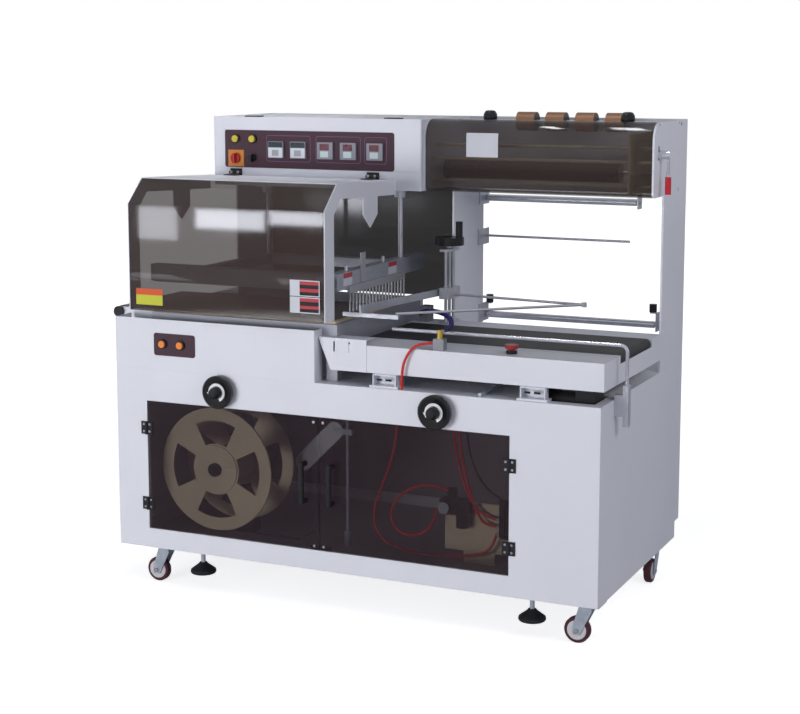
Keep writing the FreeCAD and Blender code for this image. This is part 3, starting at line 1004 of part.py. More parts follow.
# Film housing: left end plate, back, floor and tie rods, and the smoked cover in front.
def build_film_housing():
    outline = [("post_back", "head_low"), ("post_back", "head_top"), ("film_front", "head_top"), ("film_front", "head_low")]
    end = profile("film_end", "x", ("control_right", "control_right + film_plate"), [outline],
                  [("feed_depth", "head_low + feed_height", "film_axle + fit_gap"), ("support_depth", "head_top - support_drop", "film_axle + fit_gap")])
    round_corners(end, "x", [("film_front", "head_top")], "film_top_round")
    round_corners(end, "x", [("film_front", "head_low")], "film_bottom_round")
    x = ("control_right + film_plate", "cabinet_width - post_plate")
    back = block("film_back", x, ("post_back - skin", "post_back"), ("head_low", "head_top"))
    floor = block("film_floor", x, ("post_back - 190", "post_back - skin"), ("head_low", "head_low + skin"))
    tie_spots = (("film_front + 90", "head_low + 140"), ("film_front + 60", "head_low + 100"), ("film_front + 75", "head_low + 28"))
    plate_y = ("film_front + cover_thickness + bearing_front", "post_back - skin")
    plate = profile("bearing_plate", "x", ("bearing_right - bearing_plate", "bearing_right"),
                    [rectangle(*plate_y, "head_low + cover_thickness + 1", "head_top - bearing_drop")],
                    [("feed_depth", "head_low + feed_height", "film_axle + fit_gap")]
                    + [(y, z, "tie_radius + fit_gap") for y, z in tie_spots])
    shell = fuse("film_shell", [end, back, floor, plate])
    ties = [rod("tie_%d" % n, "x", "tie_radius", x, y, z) for n, (y, z) in enumerate(tie_spots)]
    node("film_housing", group("film_housing_group", [shell] + ties))
    t = "cover_thickness"
    reach = "film_front + cover_return"
    section = [(reach, "head_top"), ("film_front", "head_top"), ("film_front", "head_low"), (reach, "head_low"), (reach, plus("head_low", t)),
               (plus("film_front", t), plus("head_low", t)), (plus("film_front", t), less("head_top", t)), (reach, less("head_top", t))]
    cover = profile("cover_sheet", "x", (plus(x[0], "0.3"), less(x[1], "0.3")), [section])
    round_corners(cover, "x", [("film_front", "head_top")], "film_top_round")
    round_corners(cover, "x", [(plus("film_front", t), less("head_top", t))], "film_top_round - cover_thickness")
    round_corners(cover, "x", [("film_front", "head_low")], "film_bottom_round")
    round_corners(cover, "x", [(plus("film_front", t), plus("head_low", t))], "film_bottom_round - cover_thickness")
    knobs = []
    for side in ("left", "right"):
        outline = [("0", "0"), ("cover_knob - 2", "0"), ("cover_knob", "5"), ("cover_knob - 1", "cover_knob_height * 0.6"),
                   ("cover_knob * 0.7", "cover_knob_height - 2"), ("cover_knob * 0.4", "cover_knob_height"), ("0", "cover_knob_height")]
        knobs.append(turned("cover_knob_" + side, outline, x="cover_knob_" + side, y="film_front + cover_knob_depth", z="head_top"))
    node("film_cover", fuse("film_cover_body", [cover] + knobs))
    smoke = block("rear_smoke", ("left_post + post_plate + 0.3", "middle_post - post_plate - 0.3"),
                  ("post_back - post_plate - 0.3 - smoke_thickness", "post_back - post_plate - 0.3"), ("housing_top + 1", "head_low - 1"))
    node("rear_smoked_panel", smoke)
    axle_x = ("control_right + 1", "cabinet_width - 1")
    feed = rod("feed_drum", "x", "feed_radius", ("feed_left", "feed_right"), "feed_depth", "head_low + feed_height")
    feed_axle = rod("feed_axle", "x", "film_axle", axle_x, "feed_depth", "head_low + feed_height")
    node("feed_roller", fuse("feed_roller_body", [feed, feed_axle]))
    support_z = "head_top - support_drop"
    drums = [rod("support_drum_%d" % n, "x", "support_radius", ("support_first + %d * support_pitch" % n, "support_first + %d * support_pitch + support_width" % n),
                 "support_depth", support_z) for n in range(4)]
    support_axle = rod("support_axle", "x", "film_axle", axle_x, "support_depth", support_z)
    node("support_roller", fuse("support_roller_body", drums + [support_axle]))


# Rear film path: brackets on the posts and the housing, two rollers, a thin guide rod, and the
# brake lever on the right.
def build_film_path():
    face = ("middle_post", "middle_post + bracket_sheet")
    deep = ("post_back - 40", "rear_reach")
    axle = "rear_axle + fit_gap"
    y = "rear_roller_depth"
    pieces = []

    def ear(name, x, y_span, z_span, bore_z):
        blank = block(name + "_blank", x, y_span, z_span)
        bore = rod(name + "_bore", "x", axle, (less(x[0], "1"), plus(x[1], "1")), y, bore_z)
        return cut(name, blank, [bore])
    behind = ("post_back", "rear_reach")
    for name, height, end, right_z in (("upper", "upper_roller_height", "upper_roller_right", ("upper_roller_height - 20", "head_low + 45")),
                                       ("lower", "lower_roller_height", "lower_roller_right", ("lower_roller_height - 20", "lower_roller_height + 40"))):
        pieces.append(ear(name + "_left_ear", face, deep, (less(height, "20"), plus(height, "40" if name == "lower" else "24")), height))
        x = (plus(end, "8"), plus(end, "8 + bracket_sheet"))
        pieces.append(ear(name + "_right_ear", x, behind, right_z, height))
        drum = rod(name + "_drum", "x", "rear_roller_radius", (plus(face[1], "3"), end), y, height)
        pin = rod(name + "_pin", "x", "rear_axle", (plus(face[0], "0.3"), plus(end, "12 + bracket_sheet")), y, height)
        node(name + "_film_roller", fuse(name + "_roller_body", [drum, pin]))
    arm_z = ("lower_roller_height - 5", "lower_roller_height + 20")
    pieces.append(block("lower_arm", ("lower_roller_right + 8 + bracket_sheet", "cabinet_width - 6"), ("post_back", "post_back + bracket_sheet"), arm_z))
    pieces.append(block("guide_plate", face, ("post_back - 50", "rear_reach"), ("guide_rod_height - 26", "guide_rod_height + 26")))
    pieces.append(rod("guide_bar", "x", "guide_rod_radius", (face[1], "guide_rod_right"), "rear_roller_depth + 8", "guide_rod_height"))
    for name, x in (("left", "middle_post + bracket_sheet / 2 + 14"), ("right", "lower_roller_right - 6")):
        low = "lower_roller_height + 40"
        pieces.append(rod("star_" + name, "z", "star_radius", (low, plus(low, "star_height")), x, y))
        reach_x = (face[1], plus(x, "8")) if name == "left" else (less(x, "8"), "lower_roller_right + 8")
        pieces.append(block("star_shelf_" + name, reach_x, (less(y, "8"), plus(y, "8")), (less(low, "4"), low)))
    node("film_brackets", group("film_brackets_group", pieces))
    x0 = "cabinet_width"
    hub = rod("lever_hub", "x", "lever_hub", (plus(x0, "0.3"), plus(x0, "lever_reach")), "lever_depth", "lever_height")
    spindle = rod("lever_spindle", "x", "spindle_radius", ("cabinet_width - post_plate - 6", plus(x0, "1")), "lever_depth", "lever_height")
    arm_x = plus(x0, "lever_reach - 6")
    arm = rod("lever_arm", "z", "lever_rod", ("lever_height - lever_length + 4", "lever_height"), arm_x, "lever_depth")
    grip = rod("lever_grip", "z", "grip_radius", ("lever_height - lever_length", "lever_height - lever_length + grip_length"), arm_x, "lever_depth")
    node("brake_lever", fuse("brake_lever_body", [hub, spindle, arm, grip]))


# Dials: a dished handwheel with a centre knob on a shaft through the front panel.
def build_dials():
    for side in ("left", "right"):
        wheel = [("0", "0"), ("dial_shaft", "0"), ("dial_shaft", "-dial_reach + 50"), ("dial_radius - 8", "-dial_reach + 48"), ("dial_radius", "-dial_reach + 42"),
                 ("dial_radius", "-dial_reach + 30"), ("dial_radius - 6", "-dial_reach + 25"), ("dial_radius - 14", "-dial_reach + 30"), ("20", "-dial_reach + 32"),
                 ("17", "-dial_reach + 12"), ("12", "-dial_reach + 1"), ("0", "-dial_reach")]
        body = turned(side + "_dial_wheel", wheel, axis="y", x="dial_" + side, y="0", z="dial_axis")
        shaft = rod(side + "_dial_shaft", "y", "dial_shaft", ("-4", "40"), "dial_" + side, "dial_axis")
        node(side + "_dial", fuse(side + "_dial_body", [body, shaft]))


# Casters, as name, place and the way that the fork trails.
CASTERS = (
    ("front_left", "caster_left", "caster_front", 0),
    ("front_right", "caster_right", "caster_front", 0),
    ("rear_left", "caster_left", "caster_back", 90),
    ("rear_right", "caster_right", "caster_back", 90),
)


def build_casters():
    for name, x, y, angle in CASTERS:
        fork = caster_fork(name)
        wheel = caster_wheel(name)
        for item in (fork, wheel):
            item.Placement = Placement(Vector(), Rotation(Vector(0, 0, 1), angle))
            put(item, x, y, "0", MACHINE)
        node("caster_fork_" + name, fork)
        node("caster_wheel_" + name, wheel)


def caster_fork(name):
    top = "floor_gap - caster_plate - 0.3"
    race_low = "(%s) - race_height" % top
    half = "wheel_width / 2 + fork_gap"
    crown = block("crown_" + name, ("-fork_leg / 2 - 4", "fork_leg / 2"), ("-(%s) - fork_plate" % half, plus(half, "fork_plate")), (less(race_low, "fork_plate"), race_low), LOCAL)
    race = rod("race_" + name, "z", "race_radius", (race_low, top), "0", "0", LOCAL)
    stem = rod("stem_" + name, "z", "stem_radius", (less(top, "1"), "floor_gap - 0.3"), "0", "0", LOCAL)
    legs = []
    low = "wheel_radius - axle_radius - 7"
    for side, y in (("near", ("-(%s) - fork_plate" % half, "-(%s)" % half)), ("far", (half, plus(half, "fork_plate")))):
        outline = [("-fork_leg / 2 - 4", race_low), ("fork_leg / 2", race_low), ("fork_leg / 2", "(%s) - 10" % race_low), ("-caster_trail + 10", low), ("-caster_trail - 10", low), ("-caster_trail - 12", "wheel_radius + 6")]
        legs.append(profile("leg_%s_%s" % (side, name), "y", y, [outline], frame=LOCAL))
    axle = rod("axle_" + name, "y", "axle_radius", ("-(%s) - fork_plate - 4" % half, plus(half, "fork_plate + 4")), "-caster_trail", "wheel_radius", LOCAL)
    return fuse("fork_" + name, [crown, race, stem, axle] + legs)


def caster_wheel(name):
    w = "wheel_width / 2"
    outline = [("axle_radius + fit_gap", "-(%s)" % w), ("wheel_radius - 12", "-(%s)" % w), ("wheel_radius - 10", "-(%s) + 2" % w), ("wheel_radius - 3", "-(%s) + 2" % w),
               ("wheel_radius", "-(%s) + 6" % w), ("wheel_radius", "(%s) - 6" % w), ("wheel_radius - 3", "(%s) - 2" % w),
               ("wheel_radius - 10", "(%s) - 2" % w), ("wheel_radius - 12", w), ("axle_radius + fit_gap", w)]
    body = turned("wheel_turned_" + name, outline, frame=LOCAL, axis="y", x="-caster_trail", y="0", z="wheel_radius")
    return group("wheel_" + name, [body])


# Levelling feet: a rubber cone on a stud, raised clear of the floor.
def build_feet():
    pieces = []
    for name, x in (("left", "foot_left"), ("right", "foot_right")):
        for end, y in (("front", "foot_front"), ("back", "foot_back")):
            outline = [("0", "foot_lift"), ("foot_radius - 3", "foot_lift"), ("foot_radius", "foot_lift + 4"), ("foot_radius - 1", "foot_lift + 11"),
                       ("14", "foot_lift + foot_height - 4"), ("12", "foot_lift + foot_height"), ("foot_stud", "foot_lift + foot_height"), ("foot_stud", "floor_gap"), ("0", "floor_gap")]
            pieces.append(turned("foot_%s_%s" % (name, end), outline, x=x, y=y))
    node("leveling_feet", group("leveling_feet_group", pieces))


# Scrap film reel: two spoked discs on a spool, and the stand and motor that turn it.
def build_reel():
    front, back = "reel_front", "reel_front + reel_width"
    x, z = "reel_place", "reel_height"
    tools = []
    wide = "reel_window_spread"
    span = ("reel_front - 2", plus(back, "2"))
    up = [(x, z), (plus(x, wide), plus(z, "reel_radius")), (less(x, wide), plus(z, "reel_radius"))]
    down = [(a, less("2 * reel_height", b)) for a, b in up]
    east = [(plus(x, less(b, z)), plus(z, less(a, x))) for a, b in up]
    west = [(less("2 * reel_place", a), b) for a, b in east]
    wedges = [profile("reel_wedge_%d" % n, "y", span, [outline]) for n, outline in enumerate((up, down, east, west))]
    ring = cut("reel_ring", rod("reel_ring_outer", "y", "reel_window_outer", span, x, z),
               [rod("reel_ring_inner", "y", "reel_window_inner", (less(span[0], "1"), plus(span[1], "1")), x, z)])
    windows = doc.addObject("Part::MultiCommon", "reel_windows")
    windows.Shapes = [ring, fuse("reel_wedges", wedges)]
    discs = [rod("reel_disc_front", "y", "reel_radius", (front, plus(front, "reel_disc")), x, z),
             rod("reel_disc_back", "y", "reel_radius", (less(back, "reel_disc"), back), x, z)]
    cut_discs = cut("reel_discs", fuse("reel_disc_pair", discs), [windows])
    spool = rod("reel_spool", "y", "spool_radius", (front, back), x, z)
    shaft = rod("reel_shaft", "y", "reel_shaft", ("reel_front - 16", plus(back, "30 + reel_stand_depth")), x, z)
    boss = rod("reel_boss", "y", "reel_boss", ("reel_front - reel_boss_height", "reel_front"), x, z)
    nut = rod("reel_nut", "y", "reel_nut", ("reel_front - 14", "reel_front - reel_boss_height"), x, z)
    node("scrap_reel", fuse("scrap_reel_body", [cut_discs, spool, shaft, boss, nut]))
    stand_y = (plus(back, "25"), plus(back, "25 + reel_stand_depth"))
    blank = block("reel_stand_blank", (less(x, "reel_stand_width / 2"), plus(x, "reel_stand_width / 2")), stand_y, ("floor_top", "reel_height + 50"))
    bore = rod("reel_stand_bore", "y", "reel_shaft + fit_gap", (less(stand_y[0], "1"), plus(stand_y[1], "1")), x, z)
    motor = rod("reel_motor", "y", "reel_motor_radius", (plus(stand_y[1], "8"), plus(stand_y[1], "8 + reel_motor_length")), x, z)
    shelf = block("reel_shelf", (less(x, "reel_stand_width / 2"), plus(x, "reel_stand_width / 2")), (stand_y[1], plus(stand_y[1], "8 + reel_motor_length")),
                  ("reel_height - reel_motor_radius - 10", "reel_height - reel_motor_radius"))
    base = block("reel_base_plate", (less(x, "reel_base_left"), plus(x, "reel_base_right")), (stand_y[0], plus(stand_y[0], "reel_base_depth")),
                 ("floor_top", "floor_top + reel_base"))
    stand = cut("reel_stand_cut", fuse("reel_stand_solid", [blank, base]), [bore])
    node("reel_stand", group("reel_stand_group", [stand, fuse("reel_motor_body", [motor, shelf])]))


# Height column: two rods between a foot and a top plate. The film triangle slides on them and the
# crank screw runs between them.
def build_column():
    x, y = "column_place", "column_depth"
    half_x, half_y = "column_plate_length / 2", "column_plate_width / 2"
    sides = (("front", less(y, "column_pitch")), ("back", plus(y, "column_pitch")))
    foot_top = "infeed_top + column_foot"
    foot = block("column_foot_plate", (less(x, half_x), plus(x, half_x)), (less(y, half_y), plus(y, half_y)), ("infeed_top", foot_top))
    top_blank = block("column_top_blank", (less(x, half_x), plus(x, half_x)), (less(y, half_y), plus(y, half_y)), ("column_top", "column_top + column_foot"))
    bore = rod("column_top_bore", "z", "column_rod + fit_gap", ("column_top - 1", "column_top + column_foot + 1"), x, y)
    rods = [rod("column_rod_" + side, "z", "column_rod", (foot_top, "column_top"), x, place) for side, place in sides]
    node("height_column", fuse("height_column_body", [foot, cut("column_top_plate", top_blank, [bore])] + rods))
    level = "triangle_level"
    slider_z = (less(level, "8"), plus(level, "slider_height - 8"))
    blank = block("slider_blank", (less(x, "18"), plus(x, "18")), (less(y, "42"), plus(y, "42")), slider_z)
    holes = [rod("slider_hole_" + side, "z", "column_rod + fit_gap", (less(slider_z[0], "1"), plus(slider_z[1], "1")), x, place) for side, place in sides]
    holes.append(rod("slider_hole_screw", "z", "column_rod + cap_gap", (less(slider_z[0], "1"), plus(slider_z[1], "1")), x, y))
    slider = cut("slider", blank, holes)
    start = less(x, "18")
    half_bar = "bar_thickness / 2"
    front_y = "cross_bar_depth - cross_bar_width / 2"
    bar = profile("triangle_bar", "z", (level, plus(level, "bar_height")),
                  [[(less(start, half_bar), y), (plus(start, half_bar), y), (plus("bar_front_place", half_bar), front_y), (less("bar_front_place", half_bar), front_y)]])
    cross = block("triangle_cross", ("cross_bar_left", "cross_bar_right"), (front_y, "cross_bar_depth + cross_bar_width / 2"), (less(level, "cross_bar_width"), level))
    height = plus(level, "triangle_rod - 0.5")
    rods = [strut("triangle_front_rod", "triangle_rod", ("cross_bar_right - 10", "cross_bar_depth", height), ("tip_place", "tip_depth", height)),
            strut("triangle_back_rod", "triangle_rod", (plus(x, "16"), y, height), ("tip_place", "tip_depth", height))]
    tip = rod("triangle_tip", "z", "triangle_rod + 4", (less(height, "7"), plus(height, "7")), "tip_place", "tip_depth")
    node("film_triangle", fuse("film_triangle_body", [slider, bar, cross, tip] + rods))
    wheel_low = "column_top + column_foot + crank_gap"
    screw = rod("crank_screw", "z", "column_rod", (plus(foot_top, "4"), plus(wheel_low, "2")), x, y)
    collar = rod("crank_collar", "z", "column_rod + 5", ("column_top + column_foot + 0.3", plus(wheel_low, "1")), x, y)
    wheel = rod("crank_wheel", "z", "crank_radius", (wheel_low, plus(wheel_low, "crank_height")), x, y)
    grip = rod("crank_grip", "z", "crank_grip", (plus(wheel_low, "crank_height"), plus(wheel_low, "crank_height + crank_grip_height")), plus(x, "grip_offset"), y)
    node("height_crank", fuse("height_crank_body", [screw, collar, wheel, grip]))


def strut(name, radius, start, end):
    """A round bar between two points of the machine's frame."""
    a = Vector(*[value(item) for item in start])
    b = Vector(*[value(item) for item in end])
    item = doc.addObject("Part::Cylinder", name)
    item.setExpression("Radius", bind(radius))
    item.Height = a.distanceToPoint(b)
    item.Placement = Placement(Vector(), Rotation(Vector(0, 0, 1), b.sub(a)))
    return put(item, *start, MACHINE)


# Product guide: the bent rod over the belt and the block that clamps it to the cabinet's side.
def build_product_guide():
    x = ("cabinet_width + side_reach - guide_block", "cabinet_width + side_reach")
    middle = "cabinet_width + side_reach - guide_block / 2"
    y = "guide_depth"
    half = "guide_block_width / 2"
    plate = block("guide_block", x, (less(y, half), plus(y, half)), ("guide_block_low", "guide_block_high"))
    arm = block("guide_arm", ("cabinet_width", x[0]), (less(y, half), plus(y, half)), ("guide_arm_low", "guide_arm_high"))
    upright = rod("guide_upright", "z", "guide_rod", ("guide_block_high", "guide_height - guide_bend"), middle, y)
    level = rod("guide_level", "x", "guide_rod", ("guide_left", less(middle, "guide_bend")), y, "guide_height")
    bend = doc.addObject("Part::Torus", "guide_bend")
    bend.Placement = Placement(Vector(), Rotation(Vector(1, 0, 0), 90))
    bend.setExpression("Radius1", bind("guide_bend"))
    bend.setExpression("Radius2", bind("guide_rod"))
    bend.Angle3 = 90
    put(bend, less(middle, "guide_bend"), y, "guide_height - guide_bend", MACHINE)
    node("product_guide", fuse("product_guide_body", [plate, arm, upright, level, bend]))


# Air fittings on the rails, the stop button, and the filter and valves in the right bay.
def build_air():
    x0, y0 = "regulator_place", "regulator_front"
    body = block("regulator_body", (x0, plus(x0, "regulator_width")), (y0, plus(y0, "regulator_depth")), ("infeed_top", "infeed_top + regulator_height"))
    fitting = rod("regulator_fitting", "z", "fitting_radius", ("infeed_top + regulator_height", "infeed_top + regulator_height + fitting_height"),
                  plus(x0, "regulator_width / 2"), plus(y0, "regulator_depth / 2"))
    elbow = rod("regulator_elbow", "y", "fitting_radius - 1", (plus(y0, "regulator_depth / 2"), plus(y0, "regulator_depth + 3")),
                plus(x0, "regulator_width / 2"), "infeed_top + regulator_height + fitting_height - fitting_radius + 1")
    nozzle = block("nozzle_block", ("nozzle_place", "nozzle_place + nozzle_width"), ("nozzle_front", "nozzle_front + nozzle_depth"), ("infeed_top", "infeed_top + nozzle_height"))
    base = rod("stop_base", "z", "stop_base", ("infeed_top", "infeed_top + stop_rise"), "stop_place", "stop_depth")
    bore = rod("stop_bore", "z", "stop_neck + fit_gap", ("infeed_top + 1", "infeed_top + stop_rise + 1"), "stop_place", "stop_depth")
    node("rail_fittings", group("rail_fittings_group", [body, fuse("air_fitting", [fitting, elbow]), nozzle, cut("stop_socket", base, [bore])]))
    neck = rod("stop_neck", "z", "stop_neck", ("infeed_top + 1 + stop_travel + 0.3", "infeed_top + stop_rise + stop_travel + 1"), "stop_place", "stop_depth")
    cap = rod("stop_cap", "z", "stop_radius", ("infeed_top + stop_rise + stop_travel + 0.3", "infeed_top + stop_rise + stop_travel + stop_cap"), "stop_place", "stop_depth")
    node("stop_button", fuse("stop_button_body", [neck, cap]))
    y = "air_plate_depth"
    plate = block("air_plate", ("air_plate_left", "air_plate_right"), (y, plus(y, "3")), ("floor_gap + air_plate_low", "floor_gap + air_plate_height"))
    leg = block("air_leg", ("air_plate_left + 60", "air_plate_left + 60 + air_leg_width"), (y, plus(y, "3")), ("floor_top", "floor_gap + air_plate_low"))
    middle = "floor_gap + filter_height"
    head = block("filter_head", (less("filter_place", "18"), plus("filter_place", "filter_length")), (less(y, "44"), y), (less(middle, "22"), plus(middle, "22")))
    bowl = rod("filter_bowl", "z", "filter_radius - 2", (less(middle, "22 + filter_drop"), less(middle, "22")), "filter_place + 48", less(y, "22"))
    knob = rod("filter_knob", "z", "filter_radius - 6", (plus(middle, "22"), plus(middle, "54")), "filter_place + 14", less(y, "22"))
    gauge = rod("filter_gauge", "y", "gauge_radius", (less(y, "58"), less(y, "44")), "filter_place", middle)
    valve_z = ("floor_gap + valve_low", "floor_gap + valve_low + valve_height")
    valves = [block("valve_manifold", ("valve_left", "valve_left + valve_width"), (less(y, "30"), y), valve_z)]
    for n in range(4):
        left = "valve_left + 3 + %d * valve_width / 4" % n
        valves.append(block("valve_%d" % n, (left, plus(left, "valve_width / 4 - 6")), (less(y, "46"), less(y, "30")), (plus(valve_z[0], "coil_low"), plus(valve_z[1], "coil_rise"))))
    for n in range(3):
        valves.append(rod("port_%d" % n, "x", "port_radius", ("valve_left - port_length", "valve_left + 2"), less(y, "20"),
                          plus(valve_z[0], "12 + port_pitch * %d" % n)))
    node("air_unit", fuse("air_unit_body", [plate, leg, head, bowl, knob, gauge] + valves))


# Hoses. Each route is a list of points chosen by hand, in the machine's frame.
RED_HOSE = [(1050, 46, 820), (1024, 46, 820), (996, 20, 812), (975, 12, 780), (962, 12, 740), (962, 12, 685)]
BLUE_HOSE = [(1066, 62, 852), (1066, 104, 852), (1054, 164, 858), (1014, 240, 868), (946, 318, 868),
             (880, 386, 858), (832, 440, 841), (815, 474, 832), (815, 505, 832)]
INNER_HOSE = [(1053, 200, 683), (1053, 200, 640), (1058, 201, 560), (1068, 204, 480), (1082, 209, 400), (1100, 215, 330),
              (1120, 220, 276), (1144, 220, 254), (1176, 220, 254)]


def hose_route(points):
    """Straight runs joined by tangent arcs, each as large as 0.45 of its shorter run allows."""
    corners = [Vector(*point) for point in points]
    edges = []
    radii = []
    start = corners[0]
    for before, corner, after in zip(corners, corners[1:], corners[2:]):
        inward = (before - corner).normalize()
        outward = (after - corner).normalize()
        half = inward.getAngle(outward) / 2
        reach = 0.45 * min(before.distanceToPoint(corner), corner.distanceToPoint(after))
        radii.append(reach * math.tan(half))
        first = corner + inward * reach
        last = corner + outward * reach
        centre = corner + (inward + outward).normalize() * (reach / math.cos(half))
        middle = centre + (corner - centre).normalize() * radii[-1]
        edges.append(Part.LineSegment(start, first).toShape())
        edges.append(Part.Arc(first, middle, last).toShape())
        start = last
    edges.append(Part.LineSegment(start, corners[-1]).toShape())
    return Part.Wire(edges), radii


def build_hoses():
    shift = Vector(-value("origin_x"), -value("origin_y"), 0)
    for name, points, size in (("red_hose", RED_HOSE, "red_hose_radius"), ("blue_hose", BLUE_HOSE, "blue_hose_radius"),
                               ("inner_hose", INNER_HOSE, "inner_hose_radius")):
        route, radii = hose_route(points)
        radius = value(size)
        heading = Vector(*points[1]) - Vector(*points[0])
        section = Part.Wire(Part.Circle(Vector(*points[0]), heading, radius).toShape())
        tube = route.makePipeShell([section], True, False)
        solid = Part.Solid(tube) if tube.ShapeType != "Solid" else tube
        item = doc.addObject("Part::Feature", name + "_tube")
        item.Shape = solid
        item.Placement = Placement(shift, Rotation())
        expected = math.pi * radius ** 2 * route.Length
        print("%s: length %.0f, radii %s, volume ratio %.4f" % (
            name, route.Length, " ".join("%.0f" % each for each in radii), solid.Volume / expected))
        node(name, item)


for build in (build_base_frame, build_inner_frame, build_front_panel, build_cabinet_panels, build_seal_housing, build_lower_jaw,
              build_outfeed, build_infeed, build_conveyor_motor, build_belts, build_posts, build_control_box, build_guard, build_hinges,
              build_doors, build_upper_jaw, build_film_housing, build_film_path, build_dials, build_casters, build_feet, build_reel,
              build_column, build_product_guide, build_air, build_hoses):
    build()

doc.recompute()
faults = [item.Name for item in doc.Objects if "Invalid" in item.State or "Error" in item.State]
for item in NODES:
    if item.Shape.isNull() or not item.Shape.isValid():
        faults.append(item.Label + " shape")
if faults:
    raise SystemExit("failed: " + ", ".join(faults))

os.makedirs("parts", exist_ok=True)
for item in NODES:
    item.Shape.exportStep("parts/%s.step" % item.Label)
print("%d sub-parts written" % len(NODES))
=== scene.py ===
import math

import bmesh
import bpy
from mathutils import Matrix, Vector


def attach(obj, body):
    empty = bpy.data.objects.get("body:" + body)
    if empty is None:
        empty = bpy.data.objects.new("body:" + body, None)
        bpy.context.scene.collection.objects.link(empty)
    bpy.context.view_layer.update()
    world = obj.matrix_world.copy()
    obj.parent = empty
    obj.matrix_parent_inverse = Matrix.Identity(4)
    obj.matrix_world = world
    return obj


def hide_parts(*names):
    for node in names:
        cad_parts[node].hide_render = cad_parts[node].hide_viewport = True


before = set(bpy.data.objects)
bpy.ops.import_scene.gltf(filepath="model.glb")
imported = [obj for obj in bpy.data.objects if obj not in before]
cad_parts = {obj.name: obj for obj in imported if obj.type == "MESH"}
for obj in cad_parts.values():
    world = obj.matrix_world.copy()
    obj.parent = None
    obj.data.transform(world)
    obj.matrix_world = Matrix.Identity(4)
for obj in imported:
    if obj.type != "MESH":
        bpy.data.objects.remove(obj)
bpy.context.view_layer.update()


# Camera: it stands in front of the machine and to its right, a little above its top, and its
# picture is shifted down so that upright edges lean only slightly.
MIDDLE_X = 766.5
MIDDLE_Y = 407


def at(x, y, z):
    """A place measured in millimetres from the cabinet's lower left front corner on the floor."""
    return Vector(((x - MIDDLE_X) / 1000, (y - MIDDLE_Y) / 1000, z / 1000))


def measured(place):
    """The millimetres that at() takes for a place in the scene."""
    return place.x * 1000 + MIDDLE_X, place.y * 1000 + MIDDLE_Y, place.z * 1000


eye = bpy.data.cameras.new("camera")
eye.lens = 75.55
eye.sensor_width = 36
eye.shift_y = -0.07125
camera = bpy.data.objects.new("camera", eye)
camera.location = at(2918.04, -4276.71, 1612.22)
camera.rotation_euler = (math.radians(90 - 8.07), 0, math.radians(24.572))
bpy.context.scene.collection.objects.link(camera)
bpy.context.scene.camera = camera


# Hoses: a red air line from the rail regulator down to the deck, a navy spiral line to the air
# nozzle, and in the right bay red lines between the deck, the filter and the valves and a black
# cable to the valves. All are soft plastic.
def shade(red, green, blue):
    """A colour read from the photograph, as the light that it stands for."""
    return tuple(((v / 255 + 0.055) / 1.055) ** 2.4 if v > 10 else v / 255 / 12.92
                 for v in (red, green, blue))


def finish_of(name, color, roughness=0.4, metallic=0.0, spread=0.06, mottle=5.0, grain=350.0,
              bump=0.05, stretch=(1, 1, 1), alpha=1.0, coat=0.0, rough_spread=0.08):
    """A finish with slow changes of tone, fine changes of gloss and a fine relief."""
    item = bpy.data.materials.new(name)
    item.use_nodes = True
    nodes, links = item.node_tree.nodes, item.node_tree.links
    skin = nodes["Principled BSDF"]
    skin.inputs["Metallic"].default_value = metallic
    skin.inputs["Alpha"].default_value = alpha
    skin.inputs["Coat Weight"].default_value = coat
    skin.inputs["Coat Roughness"].default_value = 0.08
    place = nodes.new("ShaderNodeTexCoord")
    turn = nodes.new("ShaderNodeMapping")
    turn.inputs["Scale"].default_value = stretch
    links.new(place.outputs["Object"], turn.inputs["Vector"])
    slow = nodes.new("ShaderNodeTexNoise")
    slow.inputs["Scale"].default_value = mottle
    slow.inputs["Detail"].default_value = 3
    ramp = nodes.new("ShaderNodeValToRGB")
    ramp.color_ramp.elements[0].position = 0.3
    ramp.color_ramp.elements[1].position = 0.7
    ramp.color_ramp.elements[0].color = (*[c * (1 - spread) for c in color], 1)
    ramp.color_ramp.elements[1].color = (*[min(1, c * (1 + spread)) for c in color], 1)
    links.new(turn.outputs["Vector"], slow.inputs["Vector"])
    links.new(slow.outputs["Fac"], ramp.inputs["Fac"])
    links.new(ramp.outputs["Color"], skin.inputs["Base Color"])
    fine = nodes.new("ShaderNodeTexNoise")
    fine.inputs["Scale"].default_value = grain
    fine.inputs["Detail"].default_value = 2
    links.new(turn.outputs["Vector"], fine.inputs["Vector"])
    gloss = nodes.new("ShaderNodeMapRange")
    gloss.inputs["To Min"].default_value = max(0.02, roughness - rough_spread)
    gloss.inputs["To Max"].default_value = min(1, roughness + rough_spread)
    links.new(slow.outputs["Fac"], gloss.inputs["Value"])
    links.new(gloss.outputs["Result"], skin.inputs["Roughness"])
    if bump:
        relief = nodes.new("ShaderNodeBump")
        relief.inputs["Strength"].default_value = bump
        relief.inputs["Distance"].default_value = 0.0003
        links.new(fine.outputs["Fac"], relief.inputs["Height"])
        links.new(relief.outputs["Normal"], skin.inputs["Normal"])
    return item


def own_mesh(name, mesh, finish, body):
    """Add a finished mesh as a piece that rides on a body."""
    item = bpy.data.objects.new(name, mesh)
    bpy.context.scene.collection.objects.link(item)
    if finish is not None:
        mesh.materials.clear()
        mesh.materials.append(finish)
    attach(item, body)
    return item


def piece_of(name, shape, finish, body):
    """Turn a finished bmesh shape into a piece that rides on a body."""
    mesh = bpy.data.meshes.new(name)
    shape.to_mesh(mesh)
    shape.free()
    return own_mesh(name, mesh, finish, body)


def join_loops(shape, first, second):
    """Add four-sided faces all round, from one loop of corners to the next."""
    for k in range(len(first)):
        after = (k + 1) % len(first)
        shape.faces.new((first[k], first[after], second[after], second[k]))


